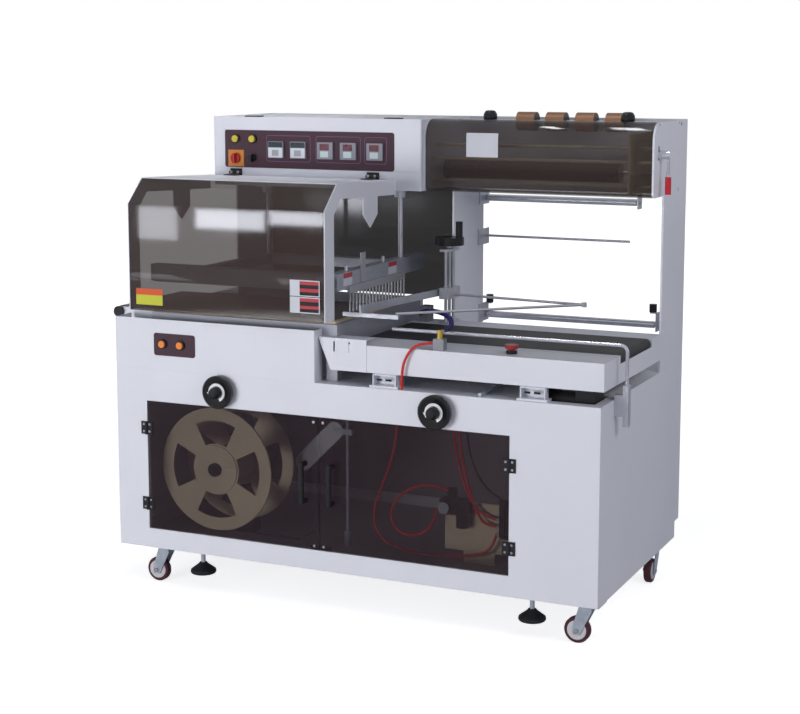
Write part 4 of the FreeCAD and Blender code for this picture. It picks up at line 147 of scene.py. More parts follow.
def smooth_line(name, points):
    """One smooth open curve that its control points lead."""
    line = bpy.data.curves.new(name, "CURVE")
    line.dimensions = "3D"
    run = line.splines.new("NURBS")
    run.points.add(len(points) - 1)
    for knot, point in zip(run.points, points):
        knot.co = (*at(*point), 1)
    run.order_u = 3
    run.use_endpoint_u = True
    run.resolution_u = 12
    return line


def line_points(line):
    """The points along a smooth curve that has no thickness yet."""
    holder = bpy.data.objects.new("line_holder", line)
    bpy.context.scene.collection.objects.link(holder)
    bpy.context.view_layer.update()
    plain = bpy.data.meshes.new_from_object(holder.evaluated_get(bpy.context.evaluated_depsgraph_get()))
    points = [vertex.co.copy() for vertex in plain.vertices]
    bpy.data.objects.remove(holder)
    bpy.data.meshes.remove(plain)
    return points


def length_of(points):
    """The length of a run of points."""
    return sum((b - a).length for a, b in zip(points, points[1:]))


def round_hose(name, route, thick, skin):
    """A hose along its route, and the length of its line."""
    line = smooth_line(name, route)
    reach = length_of(line_points(line))
    line.bevel_depth = thick / 2
    line.bevel_resolution = 4
    line.use_fill_caps = True
    line.materials.append(skin)
    hose = bpy.data.objects.new(name, line)
    bpy.context.scene.collection.objects.link(hose)
    return hose, reach


red_skin = finish_of("red_hose_plastic", shade(205, 48, 40), roughness=0.28, spread=0.08, bump=0.02)
for hose_name, node, route in (
        ("red_air_hose", "red_hose", (
            (1050, 46, 820), (1024, 46, 820), (996, 20, 812), (975, 12, 780), (962, 12, 740),
            (962, 12, 685))),
        ("bay_air_hose", "inner_hose", (
            (1053, 200, 683), (1053, 200, 640), (1058, 201, 560), (1068, 204, 480), (1082, 209, 400),
            (1100, 215, 330), (1120, 220, 276), (1144, 220, 254), (1176, 220, 254)))):
    hose, reach = round_hose(hose_name, route, 0.008, red_skin)
    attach(hose, "frame")
    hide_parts(node)

cable_skin = finish_of("black_cable", shade(26, 25, 28), roughness=0.4, spread=0.1, bump=0.02)
for hose_name, skin, thick, route in (
        ("bay_second_hose", red_skin, 0.008, (
            (1034, 204, 683), (1034, 204, 640), (1038, 206, 560), (1050, 209, 470), (1068, 213, 390),
            (1096, 218, 318), (1136, 222, 280), (1176, 220, 276))),
        ("bay_loop_hose", red_skin, 0.008, (
            (1030, 200, 352), (990, 200, 366), (920, 200, 356), (850, 202, 304), (836, 205, 240),
            (868, 206, 200), (930, 205, 200), (982, 203, 240), (994, 200, 296))),
        ("bay_long_hose", red_skin, 0.008, (
            (824, 300, 683), (822, 300, 560), (806, 300, 420), (772, 285, 320), (752, 255, 240),
            (784, 232, 170), (880, 220, 142), (1000, 214, 144), (1100, 210, 158), (1164, 212, 178),
            (1176, 220, 232))),
        ("bay_cable", cable_skin, 0.006, (
            (1046, 300, 683), (1040, 300, 560), (1056, 300, 440), (1090, 296, 372), (1132, 280, 338),
            (1172, 262, 332), (1188, 240, 318)))):
    hose, reach = round_hose(hose_name, route, thick, skin)
    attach(hose, "frame")


def along(points, count):
    """Evenly spaced places, headings and upright sides along a run of points."""
    lengths = [0.0]
    for a, b in zip(points, points[1:]):
        lengths.append(lengths[-1] + (b - a).length)
    places = []
    step = 0
    for index in range(count):
        want = lengths[-1] * index / (count - 1)
        while step < len(points) - 2 and lengths[step + 1] < want:
            step += 1
        share = (want - lengths[step]) / (lengths[step + 1] - lengths[step])
        place = points[step].lerp(points[step + 1], share)
        heading = (points[step + 1] - points[step]).normalized()
        side = heading.cross(Vector((0, 0, 1))).normalized()
        places.append((place, heading, side))
    return places


def closed_tube(name, points, radius, sides, finish, body):
    """A round tube whose rings stand square to its line, as one piece."""
    rings = []
    shape = bmesh.new()
    side = None
    for index, point in enumerate(points):
        ahead = points[min(index + 1, len(points) - 1)] - points[max(index - 1, 0)]
        heading = ahead.normalized()
        if side is None:
            side = heading.orthogonal().normalized()
        side = (side - heading * side.dot(heading)).normalized()
        other = heading.cross(side)
        rings.append([shape.verts.new(point + (side * math.cos(a) + other * math.sin(a)) * radius)
                      for a in (2 * math.pi * k / sides for k in range(sides))])
    for first, second in zip(rings, rings[1:]):
        join_loops(shape, first, second)
    shape.faces.new(list(reversed(rings[0])))
    shape.faces.new(rings[-1])
    for face in shape.faces:
        face.smooth = len(face.verts) == 4
    return piece_of(name, shape, finish, body)


blue_route = ((1066, 62, 852), (1066, 104, 852), (1054, 164, 858), (1014, 240, 868), (946, 318, 868),
              (880, 386, 858), (832, 440, 841), (815, 474, 832), (815, 505, 832))
blue_core = line_points(smooth_line("blue_hose_route", blue_route))
COIL_TURNS = 46
TURN_STEPS = 14
COIL_RADIUS = 0.0052
STRAND_RADIUS = 0.0026
coil = []
for index, (place, heading, side) in enumerate(along(blue_core, COIL_TURNS * TURN_STEPS + 1)):
    share = index / (COIL_TURNS * TURN_STEPS)
    lift = side.cross(heading)
    angle = 2 * math.pi * index / TURN_STEPS
    spread = COIL_RADIUS * min(1, 12 * share, 12 * (1 - share))
    coil.append(place + (side * math.cos(angle) + lift * math.sin(angle)) * spread)
blue_skin = finish_of("navy_hose_plastic", shade(30, 26, 92), roughness=0.25, spread=0.1, bump=0.02)
spiral = closed_tube("blue_spiral_hose", coil, STRAND_RADIUS, 8, blue_skin, "frame")
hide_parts("blue_hose")


# Cabinet: folded steel sheets with a light grey powder coat over a frame of angle iron. The
# base angle and the floor plate are a darker grey. The rear panel's inner face and the underside
# of the deck are painted darker yet, as shade.
WELD_DISTANCE = 2e-6
FLAT_BELOW = math.radians(0.5)
SMOOTH_BELOW = math.radians(35)
SOFTEN_ABOVE = math.radians(40)


def welded(node):
    """A CAD node's shape as one clean mesh, with its flat triangles joined to whole faces."""
    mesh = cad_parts[node].data.copy()
    shape = bmesh.new()
    shape.from_mesh(mesh)
    bmesh.ops.remove_doubles(shape, verts=shape.verts, dist=WELD_DISTANCE)
    bmesh.ops.dissolve_limit(shape, angle_limit=FLAT_BELOW, verts=shape.verts, edges=shape.edges)
    shape.to_mesh(mesh)
    shape.free()
    return mesh


def mark_outer_edges(mesh):
    """Give only the outward corners a bevel weight, so that no inner corner is filled."""
    shape = bmesh.new()
    shape.from_mesh(mesh)
    weight = shape.edges.layers.float.new("bevel_weight_edge")
    for edge in shape.edges:
        if len(edge.link_faces) == 2 and edge.is_convex and edge.calc_face_angle() > SOFTEN_ABOVE:
            edge[weight] = 1.0
    shape.to_mesh(mesh)
    shape.free()


def dress(node, body, finishes, pick=None, edge=0.6, outer=False):
    """Stand a softened copy in for a CAD node. pick(x, y, z, normal) names the finish of a face."""
    mesh = welded(node)
    mesh.materials.clear()
    names = list(finishes)
    for name in names:
        mesh.materials.append(finishes[name])
    for face in mesh.polygons:
        face.use_smooth = True
        face.material_index = names.index(pick(*measured(face.center), face.normal)) if pick else 0
    mesh.set_sharp_from_angle(angle=SMOOTH_BELOW)
    if outer:
        mark_outer_edges(mesh)
    item = own_mesh(node + "_dressed", mesh, None, body)
    soften = item.modifiers.new("soft_edges", "BEVEL")
    soften.width = edge / 1000
    soften.segments = 2
    soften.limit_method = "WEIGHT" if outer else "ANGLE"
    soften.angle_limit = SOFTEN_ABOVE
    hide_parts(node)
    return item


def panel_finish(x, y, z, n):
    """Painted shade: dark on the rear panel's inner face and under the deck, light elsewhere."""
    rear_inside = n.y < -0.9 and y > 700
    under_deck = n.z < -0.9 and z > 600
    return "inside" if z < 684 and (rear_inside or under_deck) else "coat"


white_coat = finish_of("light_powder_coat", shade(224, 226, 234), roughness=0.45, spread=0.02, grain=900,
                       bump=0.06, coat=0.1)
base_coat = finish_of("base_paint", shade(186, 187, 194), roughness=0.5, spread=0.04, grain=700, bump=0.08)
zinc = finish_of("zinc_plate", shade(186, 194, 206), roughness=0.35, metallic=0.5, spread=0.12, mottle=40,
                 bump=0.03)
dress("base_frame", "frame", {"paint": base_coat, "zinc": zinc},
      lambda x, y, z, n: "zinc" if z < 119.9 and abs(n.z) < 0.5 else "paint")
dress("inner_frame", "frame", {"paint": base_coat, "zinc": zinc},
      lambda x, y, z, n: "zinc" if 640 < x < 690 and 245 < y < 280 and z < 679 else "paint")
dress("front_panel", "frame", {"coat": white_coat}, edge=0.8)
# Painted shade: this darker grey stands for the shade on the rear panel's inner face and under the deck.
painted_shade_coat = finish_of("painted_shade_coat", shade(112, 106, 112), roughness=0.6, spread=0.05, grain=900, bump=0.06)
dress("cabinet_panels", "frame", {"coat": white_coat, "inside": painted_shade_coat}, panel_finish, edge=0.8)


# Doors: two smoked acrylic sheets with black nylon hinges, each held by four bright screws, and
# a black bow handle each. The fixed halves of their hinges and of the guard's, with two screws
# in each, are one set on the frame.
def smoked(name, color, alpha, roughness=0.06, gloss=0.25):
    """Tinted clear acrylic: what lies behind it shows dimly, and its face stays glossy."""
    item = finish_of(name, color, roughness=roughness, spread=0.05, mottle=2.0, bump=0.0, alpha=alpha,
                     rough_spread=0.02)
    item.node_tree.nodes["Principled BSDF"].inputs["Specular IOR Level"].default_value = gloss
    item.surface_render_method = "BLENDED"
    return item


def heads_tree():
    """Round socket heads on the points of a mesh, turned to face one way."""
    tree = bpy.data.node_groups.new("screw_heads", "GeometryNodeTree")
    face = tree.interface
    face.new_socket("Geometry", in_out="INPUT", socket_type="NodeSocketGeometry")
    face.new_socket("Head radius", in_out="INPUT", socket_type="NodeSocketFloat")
    face.new_socket("Head height", in_out="INPUT", socket_type="NodeSocketFloat")
    face.new_socket("Turn", in_out="INPUT", socket_type="NodeSocketVector")
    face.new_socket("Finish", in_out="INPUT", socket_type="NodeSocketMaterial")
    face.new_socket("Geometry", in_out="OUTPUT", socket_type="NodeSocketGeometry")
    nodes, links = tree.nodes, tree.links
    given = nodes.new("NodeGroupInput")
    out = nodes.new("NodeGroupOutput")
    head = nodes.new("GeometryNodeMeshCylinder")
    head.inputs["Vertices"].default_value = 18
    links.new(given.outputs["Head radius"], head.inputs["Radius"])
    links.new(given.outputs["Head height"], head.inputs["Depth"])
    socket = nodes.new("GeometryNodeMeshCylinder")
    socket.inputs["Vertices"].default_value = 6
    half = nodes.new("ShaderNodeMath")
    half.operation = "MULTIPLY"
    half.inputs[1].default_value = 0.5
    links.new(given.outputs["Head radius"], half.inputs[0])
    links.new(half.outputs[0], socket.inputs["Radius"])
    links.new(given.outputs["Head height"], socket.inputs["Depth"])
    lift = nodes.new("GeometryNodeTransform")
    rise = nodes.new("ShaderNodeCombineXYZ")
    most = nodes.new("ShaderNodeMath")
    most.operation = "MULTIPLY"
    most.inputs[1].default_value = 0.6
    links.new(given.outputs["Head height"], most.inputs[0])
    links.new(most.outputs[0], rise.inputs["Z"])
    links.new(socket.outputs["Mesh"], lift.inputs["Geometry"])
    links.new(rise.outputs["Vector"], lift.inputs["Translation"])
    hollow = nodes.new("GeometryNodeMeshBoolean")
    hollow.operation = "DIFFERENCE"
    links.new(head.outputs["Mesh"], hollow.inputs["Mesh 1"])
    links.new(lift.outputs["Geometry"], hollow.inputs["Mesh 2"])
    spread = nodes.new("GeometryNodeInstanceOnPoints")
    turn = nodes.new("FunctionNodeEulerToRotation")
    links.new(given.outputs["Geometry"], spread.inputs["Points"])
    links.new(hollow.outputs["Mesh"], spread.inputs["Instance"])
    links.new(given.outputs["Turn"], turn.inputs["Euler"])
    links.new(turn.outputs["Rotation"], spread.inputs["Rotation"])
    real = nodes.new("GeometryNodeRealizeInstances")
    coat = nodes.new("GeometryNodeSetMaterial")
    links.new(spread.outputs["Instances"], real.inputs["Geometry"])
    links.new(real.outputs["Geometry"], coat.inputs["Geometry"])
    links.new(given.outputs["Finish"], coat.inputs["Material"])
    links.new(coat.outputs["Geometry"], out.inputs["Geometry"])
    return tree


screw_heads = heads_tree()
bright_screw = finish_of("bright_screw", shade(205, 206, 210), roughness=0.22, metallic=1.0, spread=0.1,
                         mottle=60, bump=0.02)
FACING = {"front": (math.pi / 2, 0, 0), "right": (0, math.pi / 2, 0)}


def screws(name, places, facing, radius, height, body):
    """Screw heads at places, each seated on the surface that it faces away from."""
    points = bpy.data.meshes.new(name)
    points.from_pydata([tuple(at(*place)) for place in places], [], [])
    holder = bpy.data.objects.new(name + "_points", points)
    bpy.context.scene.collection.objects.link(holder)
    work = holder.modifiers.new("heads", "NODES")
    work.node_group = screw_heads
    inputs = [item for item in screw_heads.interface.items_tree if item.in_out == "INPUT"]
    named = {item.name: item.identifier for item in inputs}
    work[named["Head radius"]] = radius / 1000
    work[named["Head height"]] = height / 1000
    work[named["Turn"]] = FACING[facing]
    work[named["Finish"]] = bright_screw
    bpy.context.view_layer.update()
    mesh = bpy.data.meshes.new_from_object(holder.evaluated_get(bpy.context.evaluated_depsgraph_get()))
    bpy.data.objects.remove(holder)
    mesh.name = name
    own_mesh(name, mesh, bright_screw, body)


def door_finish(x, y, z, n):
    """Smoked sheet, and black nylon for the handle and for the hinge leaves on the sheet's face."""
    on_leaf = (86 < x < 128.5 or 1276.5 < x < 1318) and (240 < z < 283 or 477 < z < 521) and y < 0.29
    return "smoke" if -0.6 < y < 6 and not on_leaf else "nylon"


door_smoke = smoked("smoked_door_acrylic", shade(48, 37, 43), 0.48)
nylon = finish_of("black_nylon", shade(30, 29, 33), roughness=0.45, spread=0.2, mottle=20, bump=0.1)
for side in ("left", "right"):
    sheet = dress(side + "_door", side + "_door", {"smoke": door_smoke, "nylon": nylon}, door_finish,
                  edge=0.5)
    sheet.visible_shadow = False
hinges = dress("hinge_set", "frame", {"nylon": nylon})
GUARD_HINGES_ABOVE = 1240
hinge_places = [measured(vertex.co) for vertex in hinges.data.vertices]
hinge_face = min(y for x, y, z in hinge_places if z > GUARD_HINGES_ABOVE)
screws("guard_hinge_screws", [(x, hinge_face + 0.3, 1261) for x in (166, 190, 655, 679)], "front",
       4.5, 2.0, "frame")
HINGE_SCREW_HEIGHTS = (250, 272, 488, 510)
for side, fixed_x, leaf_x in (("left", 98, 118), ("right", 1307, 1287)):
    screws(side + "_hinge_screws", [(fixed_x, -3.4, z) for z in HINGE_SCREW_HEIGHTS], "front",
           3.6, 1.4, "frame")
    screws(side + "_leaf_screws", [(leaf_x, -3.1, z) for z in HINGE_SCREW_HEIGHTS], "front",
           3.6, 1.4, side + "_door")
for side, x in (("left", 684), ("right", 715)):
    screws(side + "_corner_screws", [(x, -0.6, z) for z in (568, 194)], "front", 4.2, 1.4, side + "_door")


# Casters and levelling feet: zinc forks with maroon tyres on pale hubs, and black rubber feet on
# bright studs, raised clear of the floor.
tyre = finish_of("maroon_tyre", shade(74, 34, 44), roughness=0.5, spread=0.1, mottle=30, bump=0.1)
hub = finish_of("pale_hub", shade(205, 203, 206), roughness=0.4, spread=0.05)
black_rubber = finish_of("black_rubber", shade(28, 28, 30), roughness=0.6, spread=0.2, mottle=25, bump=0.2)
AXLE_HEIGHT = 38
HUB_RADIUS = 0.03
BOLT_REACH = 0.014
for name, wheel_x, wheel_y, axis in (("front_left", 109, 52, "y"), ("front_right", 1487, 52, "y"),
                                     ("rear_left", 137, 672, "x"), ("rear_right", 1515, 672, "x")):
    axle = at(wheel_x, wheel_y, AXLE_HEIGHT)
    wheel = dress("caster_wheel_" + name, "caster_wheel_" + name, {"tyre": tyre, "hub": hub}, edge=0.8)
    for face in wheel.data.polygons:
        corners = [wheel.data.vertices[index].co - axle for index in face.vertices]
        reach = max(math.hypot(c.x if axis == "y" else c.y, c.z) for c in corners)
        face.material_index = 0 if reach > HUB_RADIUS else 1
    fork = dress("caster_fork_" + name, "caster_fork_" + name, {"zinc": zinc})
    if axis == "y":
        places = [vertex.co for vertex in fork.data.vertices]
        front_face = min(measured(place)[1] for place in places
                         if math.hypot(place.x - axle.x, place.z - axle.z) < BOLT_REACH)
        screws("axle_bolt_" + name, [(wheel_x, front_face + 0.3, AXLE_HEIGHT)], "front",
               6.5, 2.5, "caster_fork_" + name)
dress("leveling_feet", "frame", {"rubber": black_rubber, "zinc": zinc},
      lambda x, y, z, n: "zinc" if z > 77 else "rubber", edge=0.8)


# Dials: black moulded handwheels with a centre knob, on shafts through the front panel. A white
# curved arrow on each shows which way to turn.
black_gloss = finish_of("black_moulding", shade(24, 24, 27), roughness=0.3, spread=0.2, mottle=15, bump=0.05)
arrow_white = finish_of("white_mark", shade(235, 235, 235), roughness=0.4, spread=0.02, bump=0.0)
DIAL_FACE = -26.6
DIAL_HEIGHT = 634.5
ARROW_STEPS = 36


def arrow_mark(name, x, z, body):
    """A curved arrow: most of a ring, with a head at one end."""
    shape = bmesh.new()
    inner, outer = [], []
    for k in range(ARROW_STEPS + 1):
        angle = math.radians(-68 + 250 * k / ARROW_STEPS)
        for ring, radius in ((inner, 19), (outer, 28)):
            across, up = radius * math.cos(angle), radius * math.sin(angle)
            ring.append(shape.verts.new(at(x + across, DIAL_FACE, z + up)))
    for k in range(ARROW_STEPS):
        shape.faces.new((inner[k], outer[k], outer[k + 1], inner[k + 1]))
    c, s = math.cos(math.radians(182)), math.sin(math.radians(182))
    corners = [(15 * c, 15 * s), (33 * c, 33 * s), (24 * c - 15 * s, 24 * s + 15 * c)]
    shape.faces.new([shape.verts.new(at(x + a, DIAL_FACE, z + b)) for a, b in corners])
    bmesh.ops.recalc_face_normals(shape, faces=shape.faces)
    thick = piece_of(name, shape, arrow_white, body).modifiers.new("thick", "SOLIDIFY")
    thick.thickness = 0.0006
    thick.offset = 0


for side, x in (("left", 372), ("right", 1078)):
    dress(side + "_dial", side + "_dial", {"black": black_gloss}, edge=0.8)
    arrow_mark(side + "_dial_arrow", x, DIAL_HEIGHT, side + "_dial")


# Seal housing: a folded box over the lower jaw, with two orange push buttons on a maroon plate.
maroon = finish_of("maroon_plate", shade(66, 40, 52), roughness=0.4, spread=0.06, bump=0.02)
black_ring = finish_of("black_bezel", shade(22, 21, 24), roughness=0.3, spread=0.1, bump=0.02)
dress("seal_housing", "frame", {"coat": white_coat, "maroon": maroon, "bezel": black_ring},
      lambda x, y, z, n: "bezel" if y < -2.01 else ("maroon" if y < -0.01 else "coat"))
orange = finish_of("orange_button", shade(236, 132, 30), roughness=0.3, spread=0.05, bump=0.0, coat=0.4)
for side in ("left", "right"):
    dress("orange_button_" + side, "orange_button_" + side, {"orange": orange}, edge=1.2, outer=True)


# Lower jaw and outfeed conveyor: a bare aluminium beam with a pale strip on top, and a short
# belt between painted side plates, with a steel end roller that has a black cap in front.
alloy = finish_of("milled_aluminium", shade(172, 174, 184), roughness=0.4, metallic=0.35, spread=0.08,
                  stretch=(1, 12, 12), mottle=12, grain=120, bump=0.05)
strip = finish_of("pale_silicone", shade(205, 190, 165), roughness=0.6, spread=0.05)
dress("lower_jaw", "frame", {"alloy": alloy, "strip": strip},
      lambda x, y, z, n: "strip" if z > 852.1 else "alloy")
dress("outfeed_frame", "frame", {"coat": white_coat})
steel = finish_of("ground_steel", shade(204, 206, 214), roughness=0.3, metallic=0.7, spread=0.1, mottle=20,
                  bump=0.03, rough_spread=0.05)
end_roller = dress("outfeed_roller", "outfeed_roller", {"steel": steel, "black": black_gloss}, edge=0.5)
pin = at(-49.7, 0, 838)
PIN_RADIUS = 0.008
CAP_BEFORE = 99.5
for face in end_roller.data.polygons:
    corners = [end_roller.data.vertices[index].co for index in face.vertices]
    reach = max(math.hypot(c.x - pin.x, c.z - pin.z) for c in corners)
    face.material_index = 1 if measured(face.center)[1] < CAP_BEFORE and reach > PIN_RADIUS else 0
white_belt = finish_of("outfeed_belt", shade(120, 112, 108), roughness=0.5, spread=0.04, mottle=8,
                       grain=1400, bump=0.2)
black_belt = finish_of("dark_belt", shade(26, 26, 30), roughness=0.55, spread=0.12, mottle=8, grain=1200,
                       bump=0.2)
dress("conveyor_belts", "frame", {"white": white_belt, "dark": black_belt},
      lambda x, y, z, n: "white" if x < 700 else "dark", edge=0.3)


# Infeed conveyor: two deep painted channels with a dark belt between them, a scale cover at the
# corner, and a drive motor under its right end. Two bracket slots with a screw each are in front;
# the slots are thin plates painted black as the shadow in them.
dress("infeed_frame", "frame", {"coat": white_coat, "zinc": zinc},
      lambda x, y, z, n: "zinc" if 1198 < x < 1212 and z < 699 else "coat")
dress("infeed_roller", "infeed_roller", {"steel": steel}, edge=0.4)
CORNER_STEPS = 4


def rounded(a0, a1, b0, b1, radius):
    """The corners of a rounded rectangle, in order."""
    corners = []
    for a, b, start in ((a1 - radius, b1 - radius, 0), (a0 + radius, b1 - radius, 90),
                        (a0 + radius, b0 + radius, 180), (a1 - radius, b0 + radius, 270)):
        for k in range(CORNER_STEPS + 1):
            turn = math.radians(start + 90 * k / CORNER_STEPS)
            corners.append((a + radius * math.cos(turn), b + radius * math.sin(turn)))
    return corners


def thin_plates(name, facing, level, thick, corner, places, finish, body):
    """Thin plates with round corners on a front face or a right face, as one piece."""
    shape = bmesh.new()
    for spans in places:
        loops = []
        for depth in (level, level - thick if facing == "front" else level + thick):
            loops.append([shape.verts.new(at(a, depth, b) if facing == "front" else at(depth, a, b))
                          for a, b in rounded(*spans, corner)])
        shape.faces.new(loops[0])
        shape.faces.new(loops[1])
        join_loops(shape, *loops)
    bmesh.ops.recalc_face_normals(shape, faces=shape.faces)
    piece_of(name, shape, finish, body)


# Painted shadow: the bracket slots and the lever slot are thin black plates that stand for the shade inside
# them.
shadow_black = finish_of("slot_painted_shadow", shade(20, 20, 22), roughness=0.6, spread=0.1, bump=0.0)
thin_plates("bracket_slots", "front", 14.05, 0.2, 2.9, [(882, 930, 705, 711), (1334, 1382, 705, 711)],
            shadow_black, "frame")
screws("bracket_screws", [(906, 13.2, 708), (1358, 13.2, 708)], "front", 5.5, 2.6, "frame")
motor_black = finish_of("motor_paint", shade(30, 30, 33), roughness=0.5, spread=0.15, mottle=15, bump=0.15)
dress("conveyor_motor", "frame", {"black": motor_black})


# Upper jaw: aluminium bars on two bright rods, with a steel comb and two bare plates along the
# right side. Each plate is white with a red band.
chrome = finish_of("bright_chrome", shade(222, 223, 230), roughness=0.18, metallic=0.75, spread=0.05,
                   mottle=30, bump=0.0, rough_spread=0.03)
comb_steel = finish_of("comb_steel", shade(176, 176, 182), roughness=0.35, metallic=0.3, spread=0.06,
                       bump=0.02)
dress("upper_jaw", "upper_jaw", {"alloy": alloy, "chrome": chrome, "comb": comb_steel},
      lambda x, y, z, n: "chrome" if z > 1001 and x < 737 else ("comb" if x > 738.01 else "alloy"))
plate_white = finish_of("bare_plate_white", shade(205, 208, 216), roughness=0.4, spread=0.03, bump=0.0)
plate_red = finish_of("bare_plate_red", shade(186, 62, 72), roughness=0.4, spread=0.04, bump=0.0)
JAW_SIDE = 738.02
JAW_PLATES = ((92, 150), (404, 464))
thin_plates("jaw_plates", "right", JAW_SIDE, 0.4, 1.5, [(*span, 960, 997) for span in JAW_PLATES],
            plate_white, "upper_jaw")
thin_plates("jaw_plate_bands", "right", JAW_SIDE + 0.4, 0.2, 1.0, [(*span, 983, 997) for span in JAW_PLATES],
            plate_red, "upper_jaw")


# Guard: a white folded frame with pointed tabs, and a smoked shield across its front with bare
# plates near its lower corners.
def guard_finish(x, y, z, n):
    """Light coat, and black nylon for the two hinge leaves on the sloping roof."""
    on_leaf = y > 396 and (156 < x < 200 or 645 < x < 689) and z > 1265.3 - (y - 40) * 0.0375
    return "nylon" if on_leaf else "coat"


dress("guard_frame", "guard", {"coat": white_coat, "nylon": nylon}, guard_finish)
guard_smoke = smoked("smoked_guard_acrylic", shade(62, 50, 46), 0.68, 0.03, 0.45)
dress("guard_shield", "guard", {"smoke": guard_smoke}, edge=0.5).visible_shadow = False
plate_black = finish_of("bare_plate_black", shade(30, 28, 30), roughness=0.45, spread=0.1, bump=0.0)
plate_yellow = finish_of("bare_plate_yellow", shade(196, 202, 62), roughness=0.45, spread=0.04, bump=0.0)
plate_orange = finish_of("bare_plate_orange", shade(214, 92, 52), roughness=0.45, spread=0.04, bump=0.0)
SHIELD_FACE = -40.02
for name, lift, thick, corner, places, finish in (
        ("guard_white_plates", 0, 0.3, 1.0, [(631, 728, 944, 991), (631, 728, 895, 942)], plate_white),
        ("guard_black_plates", 0.3, 0.1, 0.8, [(663, 725, 947, 988), (663, 725, 898, 939)], plate_black),
        ("guard_red_bands", 0.4, 0.1, 0.8, [(663, 725, 978, 988), (663, 725, 957, 967),
                                            (663, 725, 929, 939), (663, 725, 908, 917)], plate_red),
        ("guard_yellow_plate", 0, 0.3, 1.0, [(105, 198, 888, 937)], plate_yellow),
        ("guard_orange_band", 0.3, 0.1, 0.8, [(105, 198, 918, 937)], plate_orange)):
    thin_plates(name, "front", SHIELD_FACE - lift, thick, corner, places, finish, "guard")


# Posts and control box: folded steel with the light coat. The hood carries a maroon panel with
# meters, buttons, switches and thin lines, and two black hinge leaves on its top front edge.
PANEL_FACE = 443.49
METER_FACE = 435.5


def hood_finish(x, y, z, n):
    """Light hood and maroon panel, with the meter cases, bezels and switch plate before the panel."""
    if y > 444.9:
        return "coat"
    if y >= PANEL_FACE:
        return "maroon"
    if x > 290:
        return "meter"
    return "yellow" if z < 1333 and x < 215 else "bezel"


def ring_lines(name, level, corner, width, places, finish, body):
    """Thin printed lines around rounded rectangles on a front face, as one piece."""
    shape = bmesh.new()
    for a0, a1, b0, b1 in places:
        loops = []
        for inset, depth in ((0, level), (width, level), (width, level - 0.15), (0, level - 0.15)):
            loops.append([shape.verts.new(at(a, depth, b)) for a, b in
                          rounded(a0 + inset, a1 - inset, b0 + inset, b1 - inset, corner - inset)])
        for first, second in zip(loops, loops[1:] + loops[:1]):
            join_loops(shape, first, second)
    bmesh.ops.recalc_face_normals(shape, faces=shape.faces)
    piece_of(name, shape, finish, body)


dress("inner_posts", "frame", {"coat": white_coat})
dress("right_post", "frame", {"coat": white_coat})
dress("control_box", "frame", {"coat": white_coat, "steel": steel},
      lambda x, y, z, n: "steel" if z < 1217.9 else "coat")
switch_yellow = finish_of("switch_yellow", shade(206, 128, 48), roughness=0.35, spread=0.04, bump=0.0)
meter_grey = finish_of("meter_case", shade(140, 142, 152), roughness=0.4, spread=0.05, bump=0.02)
dress("control_hood", "control_hood", {"coat": white_coat, "maroon": maroon, "bezel": black_ring,
                                       "yellow": switch_yellow, "meter": meter_grey}, hood_finish)
button_yellow = finish_of("yellow_button", shade(204, 186, 48), roughness=0.3, spread=0.04, bump=0.0,
                          coat=0.4)
switch_red = finish_of("switch_red", shade(172, 40, 36), roughness=0.35, spread=0.06, bump=0.02)
for side in ("left", "right"):
    dress("yellow_button_" + side, "yellow_button_" + side, {"yellow": button_yellow}, edge=1.2, outer=True)
dress("main_switch", "main_switch", {"red": switch_red}, edge=1.5)
dress("selector_switch", "selector_switch", {"black": black_gloss}, edge=1.0)
meter_glass = finish_of("meter_glass", shade(34, 46, 56), roughness=0.25, spread=0.1, bump=0.0)
meter_face = finish_of("meter_face", shade(214, 218, 226), roughness=0.4, spread=0.02, bump=0.0)
meter_mark = finish_of("meter_mark", shade(160, 162, 168), roughness=0.5, spread=0.05, bump=0.0)
meter_display = finish_of("meter_display", shade(104, 56, 66), roughness=0.3, spread=0.2, mottle=60, bump=0.0)
meter_keys = finish_of("meter_keys", shade(196, 212, 212), roughness=0.4, spread=0.04, bump=0.0)
panel_line = finish_of("panel_line", shade(112, 84, 116), roughness=0.5, spread=0.04, bump=0.0)
LEFT_METERS = (299, 379)
RIGHT_METERS = (475, 556, 648)
for name, lift, thick, corner, meters, (first, last, low, high), finish in (
        ("meter_windows", 0, 0.3, 1.5, LEFT_METERS, (2, 53, 1343, 1360), meter_glass),
        ("meter_faces", 0, 0.3, 1.5, LEFT_METERS, (2, 53, 1311, 1342), meter_face),
        ("meter_marks", 0.3, 0.1, 1.0, LEFT_METERS, (15, 39, 1316, 1335), meter_mark),
        ("meter_displays", 0, 0.3, 1.5, RIGHT_METERS, (10, 43, 1337, 1357), meter_display),
        ("meter_keys", 0, 0.3, 1.5, RIGHT_METERS, (12, 40, 1315, 1334), meter_keys)):
    thin_plates(name, "front", METER_FACE - lift, thick, corner,
                [(x + first, x + last, low, high) for x in meters], finish, "control_hood")
hood_top = max(measured(vertex.co)[2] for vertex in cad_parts["control_hood"].data.vertices)
thin_plates("hood_hinge_leaves", "front", 478, 28, 1.2,
            [(left, right, hood_top, hood_top + 3.5) for left, right in ((207, 262), (702, 756))],
            nylon, "control_hood")
ring_lines("panel_lines", PANEL_FACE - 0.01, 9, 2.0,
           [(left, right, 1297, 1381) for left, right in ((289, 449), (467, 625), (638, 715))],
           panel_line, "control_hood")


# Film housing: a smoked cover in front of a dark feed roller and tie rods painted pale as a
# highlight, with four tan rollers on a shaft at the top back. A blank notice is on the cover, the
# brake lever at the right end and the rear film path behind.
def housing_finish(x, y, z, n):
    """Tan bearing plate at the right, tie rods behind the cover painted pale as a highlight, light sheets
    elsewhere.
    """
    if 1475.9 < x < 1482.1 and abs(n.z) < 0.99 and y < 826:
        return "tan"
    on_rod = y < 600 and 835.5 < x < 1553.5 and abs(n.x) < 0.5 and z > 1222.5
    return "tie" if on_rod else "coat"


